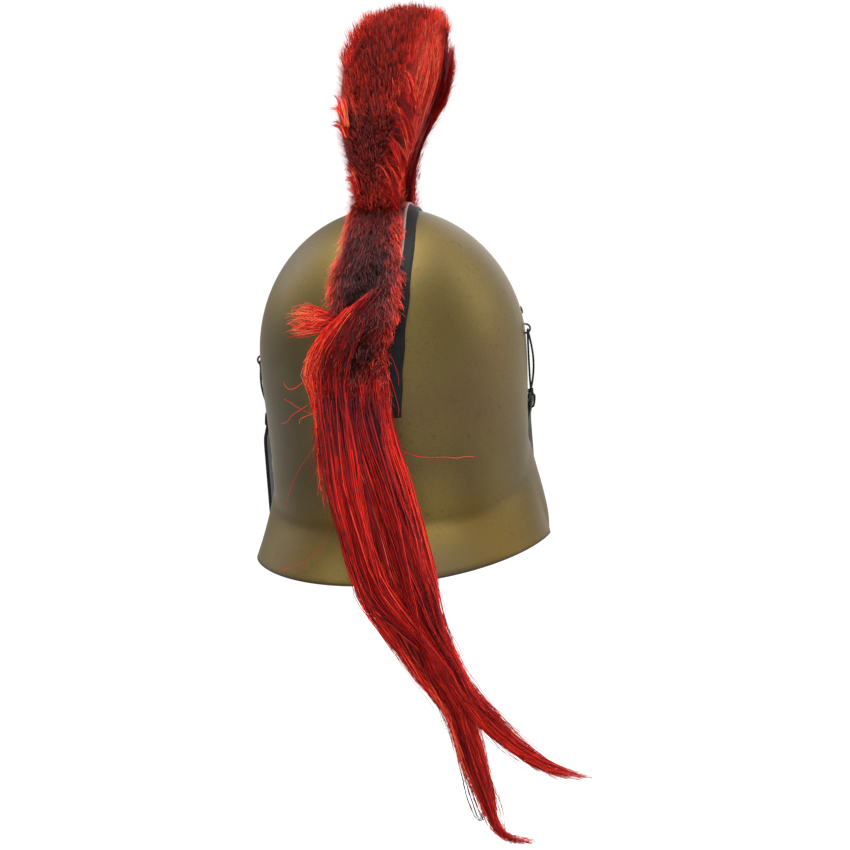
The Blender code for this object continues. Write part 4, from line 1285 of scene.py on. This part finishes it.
def tailLocks(side):
    sections = tailSections(side)
    count, turn = tail["locks"][side], 2.0 if side == "right" else 0.0
    for number in range(count):
        across = -0.95 + 1.9 * (number + random.random()) / count
        depth = between(-1, 1)
        tone = 0.43 + between(-0.10, 0.10)
        # Painted light: hair at the edges is lighter, as if lit from behind
        tone += 0.06 * sin(across * 7 + turn) + 0.14 * abs(across) ** 3
        wave, phase = between(0.03, 0.14), between(0, 6)
        drift = between(-0.20, 0.20)
        first = random.choice((0, 1, 2, 3, 4, 5, 6, 8, 10))
        stop = len(sections) - random.choice((0, 0, 1, 2, 3, 5, 8, 12))
        lock = []
        for index in range(first, stop):
            section, place = sections[index], index / len(sections)
            there = across + drift * (place - 0.5) + wave * sin(phase + place * 16)
            point = tailSpot(section, min(0.98, max(-0.98, there)), depth)
            point.y += 0.005 * (1 - ease((index - first) / 5))
            near = (stop - index) / (stop - first)
            parting = hump(there, tail["partingAt"], tail["partingWidth"])
            parting *= 1 - ease((place - 0.24) / 0.12)
            # Painted shade darkens the parting
            shade = 0.06 * sin(phase * 3 + place * 11) - 0.32 * parting
            shade += 0.07 * hump(place, 0.34, 0.10) - 0.10 * (1 - ease((place - 0.18) / 0.10))
            shade -= 0.14 * (1 - ease((index - first) / 6))
            spread = min(0.0075, 0.0010 + section[2] * 0.24) * min(1.0, 0.3 + near * 3)
            lock.append((point, spread, tone + shade))
        yield lock


def makeTailCore(finish):
    bm = bmesh.new()
    outline = circle(1, tail["coreSides"])
    for side in sides:
        joinRings(bm, [[bm.verts.new(tailSpot(section, tail["core"] * a, tail["coreDepth"] * b))
                        for a, b in outline] for section in tailSections(side)[1:-4]])
    settle(addPiece("tailCore", bm, finish), "red_hair", "tail_plume")


# Single loose hairs

loose = {
    # of each side: count, x of the edge, reach, highest and lowest drop
    "left": (18, -0.038, 0.030, 0.110, 0.200), "right": (9, 0.015, 0.010, 0.110, 0.190),
    # long hairs that lie on the bronze: x and drop
    "long": (
        ((0.018, 0.194), (0.032, 0.200), (0.050, 0.202), (0.072, 0.203)),
        ((-0.048, 0.126), (-0.062, 0.137), (-0.073, 0.139), (-0.077, 0.133)),
        ((-0.044, 0.147), (-0.067, 0.158), (-0.082, 0.167)),
        ((-0.042, 0.162), (-0.060, 0.157), (-0.078, 0.147)),
        ((-0.042, 0.158), (-0.052, 0.184), (-0.071, 0.205), (-0.086, 0.233)),
        ((-0.042, 0.242), (-0.052, 0.266), (-0.070, 0.279), (-0.090, 0.284)),
    ),
    # hairs that hang from the tail's left edge and meet: x and drop
    "hanging": ((0.048, 0.420), (0.056, 0.458), (0.062, 0.482), (0.067, 0.491), (0.071, 0.474)),
    "hangers": 15, "hangerGap": 0.003,
    "hair": {"perLock": 1, "Points": 16, "Seed": 8, "Latest Root": 0.0, "Shortest": 1.0, "Flat": False,
             "Tip Radius": 0.00016, "Frizz": 0.005, "Tone Spread": 0.0},
}


# A point on the shell's back, down to the rim
def onSkirt(x, drop, lift):
    angle = findTurn(0.5 * pi, 1.5 * pi, 30, lambda turn: shellPoint(turn, drop).x > x)[0]
    return shellPoint(angle, drop) - Vector((0, lift, 0))


def looseHairs():
    def hair(points, tone):
        return [(point, 0.0, tone) for point in points]

    for side, sign in sides.items():
        count, edge, longest, highest, lowest = loose[side]
        for _ in range(count):
            drop = between(highest, lowest)
            reach = longest * random.random() ** 1.5
            fall, curl = between(0.004, 0.045), between(-0.005, 0.005)
            start = edge - sign * between(0, 0.006)
            yield hair(evenly(9, lambda way: onSkirt(
                start + sign * reach * sin(way * 1.7),
                drop + fall * way + curl * sin(way * 5), 0.014 - 0.008 * way)),
                between(0.30, 0.80))
    for number, line in enumerate(loose["long"]):
        yield hair([onSkirt(x, drop, 0.006) for x, drop in smoothRows(line, 4)], 0.82 - 0.05 * number)
    for side in sides:
        sections = tailSections(side)
        for _ in range(tail["strays"]):
            start = random.randrange(3, len(sections) - 9)
            count, sign = random.randrange(4, 9), random.choice((-1, 1))
            bow, out = between(0.000, 0.004), between(-0.002, 0.007)
            points = []
            for step in range(count):
                section, way = sections[start + step], step / count
                apart = (bow * sin(pi * way) + out * way) / max(0.002, section[2])
                points.append(tailSpot(section, sign * (0.88 + apart), -0.4))
            yield hair(points, between(0.20, 0.85))
    for number in range(loose["hangers"]):
        slip = loose["hangerGap"] * (number % 3 - 1) + between(-0.0004, 0.0004)
        yield hair([Vector((x + slip * sin(pi * index / 16), -0.157, shell["thickness"] - drop))
                 for index, (x, drop) in enumerate(smoothRows(loose["hanging"], 4))], 0.12)


# The fittings at the sides

eye = {"y": 0.006, "drops": {"left": 0.1156, "right": 0.1048}, "radius": 0.0036,
       "wire": 0.0008, "gap": 0.0003, "bends": 24, "sides": 14}
rivet = {"y": 0.024, "drop": 0.090, "radius": 0.0034, "height": 0.0012, "gap": 0.0003,
         "rings": 8, "sides": 40}


def sidePlace(sign, y, drop):
    side, _, front = wallAxes(shell, drop)
    crown = crownShare(shell, drop)
    x = side * sqrt(1 - crown ** 2 - (y / front) ** 2)
    point = Vector((sign * x, y, shell["thickness"] - drop))
    return point, shellLevel(point)[1]


# A tube along centres, with an outline for each
def addTube(bm, centres, outlines, across):
    rings = []
    for index, (centre, outline) in enumerate(zip(centres, outlines)):
        along = (centres[min(index + 1, len(centres) - 1)] - centres[max(index - 1, 0)]).normalized()
        wide = (across - along * across.dot(along)).normalized()
        deep = along.cross(wide)
        rings.append([bm.verts.new(centre + wide * a + deep * b) for a, b in outline])
    joinRings(bm, rings)


def makeEye(side, finish):
    point, _ = sidePlace(sides[side], eye["y"], eye["drops"][side])
    bends = [(0.0, eye["radius"])]
    for step in range(eye["bends"] + 1):
        angle = pi * (0.5 - step / eye["bends"])
        bends.append((eye["wire"] + eye["radius"] * cos(angle), eye["radius"] * sin(angle)))
    bends.append((0.0, -eye["radius"]))
    bm = bmesh.new()
    addTube(bm, [point + Vector((sides[side] * (eye["gap"] + out), 0, up)) for out, up in bends],
            [circle(eye["wire"], eye["sides"])] * len(bends), Vector((0, 1, 0)))
    settle(addPiece(f"{side}Eye", bm, finish), "dark_iron", f"side_eye_{side}")


def makeRivet(side, finish):
    point, outward = sidePlace(sides[side], rivet["y"], rivet["drop"])
    centres, outlines = [], []
    for ring in range(rivet["rings"] + 1):
        angle = pi / 2 * 0.97 * ring / rivet["rings"]
        centres.append(point + outward * (rivet["gap"] + rivet["height"] * sin(angle)))
        outlines.append(circle(rivet["radius"] * cos(angle), rivet["sides"]))
    bm = bmesh.new()
    addTube(bm, centres, outlines, Vector((0, 0, 1)))
    settle(addPiece(f"{side}Rivet", bm, finish), "dark_iron", f"side_rivet_{side}")


# The chin strap

strap = {
    "topDrop": 0.160, "bottomDrop": 0.290, "bendDrop": 0.232, "bendPower": 2.6,
    "topY": 0.028, "bottomY": 0.066, "standoff": 0.0045,
    "sway": 0.004, "topLean": 0.0015, "lean": 0.004,
    "width": 0.020, "thickness": 0.0026, "sideSteps": 14, "chinSteps": 44,
    "holeRadius": 0.0022, "holeDrop": 0.008, "edgeBevel": 0.0008,
}


def strapSpan():
    return sidePlace(1, strap["topY"], strap["topDrop"])[0].x + strap["standoff"]


def strapSpot(x, drop):
    down = (drop - strap["topDrop"]) / (strap["bottomDrop"] - strap["topDrop"])
    y = strap["topY"] + (strap["bottomY"] - strap["topY"]) * down
    swing = strap["sway"] * down + strap["topLean"] + strap["lean"] * ease(down / 0.15)
    return Vector((x - swing, y, shell["thickness"] - drop))


def makeStrap(finish):
    span, bend = strapSpan(), 2 / strap["bendPower"]
    side, chin = strap["bendDrop"] - strap["topDrop"], strap["bottomDrop"] - strap["bendDrop"]
    half = [(span, strap["topDrop"] + side * step / strap["sideSteps"])
            for step in range(strap["sideSteps"])]
    for step in range(strap["chinSteps"] + 1):
        angle = pi / 2 * step / strap["chinSteps"]
        half.append((span * abs(cos(angle)) ** bend,
                     strap["bendDrop"] + chin * sin(angle) ** bend))
    line = [strapSpot(x, drop) for x, drop in half]
    line += [strapSpot(-x, drop) for x, drop in reversed(half[:-1])]
    slope = Vector((0, strap["bottomY"] - strap["topY"], strap["topDrop"] - strap["bottomDrop"]))
    across = Vector((1, 0, 0)).cross(slope).normalized()
    bm = bmesh.new()
    wide, deep = strap["width"] / 2, strap["thickness"] / 2
    addTube(bm, line, [[(wide, deep), (-wide, deep), (-wide, -deep), (wide, -deep)]] * len(line), across)
    piece = addPiece("chinStrap", bm, finish)
    punches = []
    for side, sign in sides.items():
        centre = strapSpot(sign * span, strap["topDrop"] + strap["holeDrop"])
        reach = Vector((3 * strap["thickness"], 0, 0))
        pin = bmesh.new()
        addTube(pin, [centre - reach, centre + reach], [circle(strap["holeRadius"], 24)] * 2,
                Vector((0, 1, 0)))
        punches.append(addPiece(f"{side}Punch", pin, finish))
        hole = piece.modifiers.new("Hole", "BOOLEAN")
        hole.object, hole.solver = punches[-1], "EXACT"
    ready = piece.evaluated_get(bpy.context.evaluated_depsgraph_get())
    piece.data = bpy.data.meshes.new_from_object(ready)
    piece.modifiers.clear()
    for punch in punches:
        bpy.data.objects.remove(punch, do_unlink=True)
    bevel(piece, strap["edgeBevel"])
    piece.data.shade_smooth()
    piece.data.set_sharp_from_angle(angle=radians(40))
    settle(piece, "black_leather", "chin_strap")


# The twisted cords that tie the strap to the eyes

cord = {"radius": 0.0009, "spread": 0.0030, "knotRadius": 0.0026, "knotRise": 0.0012,
        "tail": 0.014, "wraps": 3.5, "pitch": 0.0042, "spacing": 0.0005, "gap": 0.0003, "plies": 3}


def makeCordTree():
    tree, bench, given = startTree("twisted cord", {
        "Radius": "Float", "Pitch": "Float", "Spacing": "Float", "Material": "Material"})
    lines = bench.shape("MeshToCurve", "Curve", Mesh=given["Geometry"])
    lines = bench.shape("ResampleCurve", "Curve", {"mode": "LENGTH"}, Curve=lines, Length=given["Spacing"])
    length = bench.shape("SplineParameter", "Length")
    along = bench.shape("InputTangent", "Tangent")
    outward = bench.shape("InputNormal", "Normal")
    aside = bench.vectors("CROSS_PRODUCT", along, outward)
    joined = bench.add("GeometryNodeJoinGeometry")
    for ply in range(cord["plies"]):
        angle = length * (2 * pi) / given["Pitch"] + 2 * pi * ply / cord["plies"]
        shift = bench.vectors("ADD", bench.scaled(outward, cosine(angle) * given["Radius"] * 0.48),
                              bench.scaled(aside, sine(angle) * given["Radius"] * 0.48))
        moved = bench.shape("SetPosition", Geometry=lines, Offset=shift)
        thread = bench.shape("CurvePrimitiveCircle", "Curve", Resolution=7, Radius=given["Radius"] * 0.54)
        mesh = bench.add("GeometryNodeCurveToMesh", {}, {
            "Curve": moved, "Profile Curve": thread, "Fill Caps": True})["Mesh"]
        bench.feed(joined.node.inputs["Geometry"], mesh)
    endTree(bench, joined["Geometry"], given["Material"])
    return tree


# One loop through the eye and the strap's hole, drawn together by a wrapped knot
def cordRoutes(side):
    sign, span = sides[side], sides[side] * strapSpan()
    place, _ = sidePlace(sign, eye["y"], eye["drops"][side])
    bend = eye["wire"] + cord["radius"] + 2 * cord["gap"]
    out = cord["gap"] + eye["wire"] + eye["radius"] * 0.45
    hang = place + Vector((sign * out, 0, -eye["radius"] * 0.9))
    loop = evenly(5, lambda way: hang + bend * Vector((0, cos(pi * way), sin(pi * way))))
    knot = strapSpot(span, strap["topDrop"] - cord["knotRise"] - cord["knotRadius"])

    def strand(start, bow):
        points = []
        for step in range(1, 5):
            bulge = cord["spread"] / 2 * sin(pi * step / 5)
            points.append(start.lerp(knot, step / 5) + Vector((sign * bulge * (1 + bow), bow * bulge, 0)))
        return points

    def beside(drop, reach):
        return strapSpot(span, drop) + Vector((sign * reach, 0, 0))

    reach = strap["thickness"] / 2 + cord["radius"] + 2 * cord["gap"]
    edge, hole = strap["topDrop"] - cord["radius"], strap["topDrop"] + strap["holeDrop"]
    above = hole - 2 * cord["radius"]
    lace = [beside(edge, reach), beside(above, reach), beside(hole, reach * 0.7),
            beside(hole, -reach * 0.7), beside(above, -reach), beside(edge, -reach)]
    ring = [*reversed(loop), *strand(loop[0], 1), knot, *lace, knot, *reversed(strand(loop[-1], -1))]
    wraps = evenly(39, lambda way: knot + cord["knotRadius"] * Vector((
        0.6 * cos(2 * pi * cord["wraps"] * way),
        0.6 * sin(2 * pi * cord["wraps"] * way), 1 - 2 * way)))
    aside = strap["width"] / 2 + cord["radius"] + 2 * cord["gap"]
    end = [knot - Vector((0, aside * back, cord["tail"] * down))
           for back, down in ((0, 0), (0.6, 0.1), (1, 0.4), (1, 0.7), (0.95, 1))]
    return [smoothRows([*ring, ring[0]], 4), wraps, smoothRows(end, 4)]


def makeCord(side, finish, tree):
    bm = bmesh.new()
    for route in cordRoutes(side):
        verts = [bm.verts.new(point) for point in route]
        for pair in zip(verts, verts[1:]):
            bm.edges.new(pair)
    piece = addPiece(f"{side}Cord", bm, finish, closed=False, smooth=False)
    runTree(piece, tree, {"Radius": cord["radius"], "Pitch": cord["pitch"],
                          "Spacing": cord["spacing"], "Material": finish})
    piece.data.shade_smooth()
    settle(piece, "black_cord", f"tie_cord_{side}")


def main():
    makeCamera()
    makeStudio()
    print("studio ready")
    brass = makeBronze()
    roots, leather, hideFinish, waxed, iron = (makePlainFinish(name) for name in plainLooks)
    coat = makeHairFinish("red fur", coatTones, 0.6, 0.06)
    longHair = makeHairFinish("long red hair", hairTones, 0.5, 0.04)
    makeShell(brass)
    print("shell ready")
    strip = makeStrip("leatherBand", band, 0, 1, band["clearance"], leather)
    settle(strip, "black_leather", "crest_band")
    settle(makeStrip("hideStrip", hide, hide["start"], hide["end"],
                     band["thickness"] + 2 * band["clearance"], hideFinish), "red_hair")
    print("band ready")
    makeCrestBody(roots)
    makeFurBody(roots)
    makeTailCore(roots)
    print("hair bodies ready")
    tree = makeHairTree()
    for name, locks, settings, finish in (
        ("crestSideHair", crestSideLocks(), crest["sideHair"], longHair),
        ("crestPileHair", crestPileLocks(), crest["pileHair"], coat),
        ("crestTopHair", crestTopLocks(), crest["topHair"], coat),
        ("crestStreakHair", crestStreakLocks(), crest["streakHair"], longHair),
        ("backFurHair", backFurLocks(), backFur["hair"], coat),
        ("sweepHair", sweepLocks(), sweep["hair"], longHair),
        ("bridgeHair", bridgeLocks(), bridge["hair"], longHair),
        ("tuftHair", tuftLocks(), tuft["hair"], longHair),
        ("leftTailHair", tailLocks("left"), tail["hair"], longHair),
        ("rightTailHair", tailLocks("right"), tail["hair"], longHair),
        ("looseHair", looseHairs(), loose["hair"], longHair),
    ):
        growHair(name, locks, settings, finish, tree)
    print("hair ready")
    makeStrap(leather)
    cordTree = makeCordTree()
    for side in sides:
        makeCord(side, waxed, cordTree)
        makeEye(side, iron)
        makeRivet(side, iron)
    print("strap, cords and fittings ready")


main()
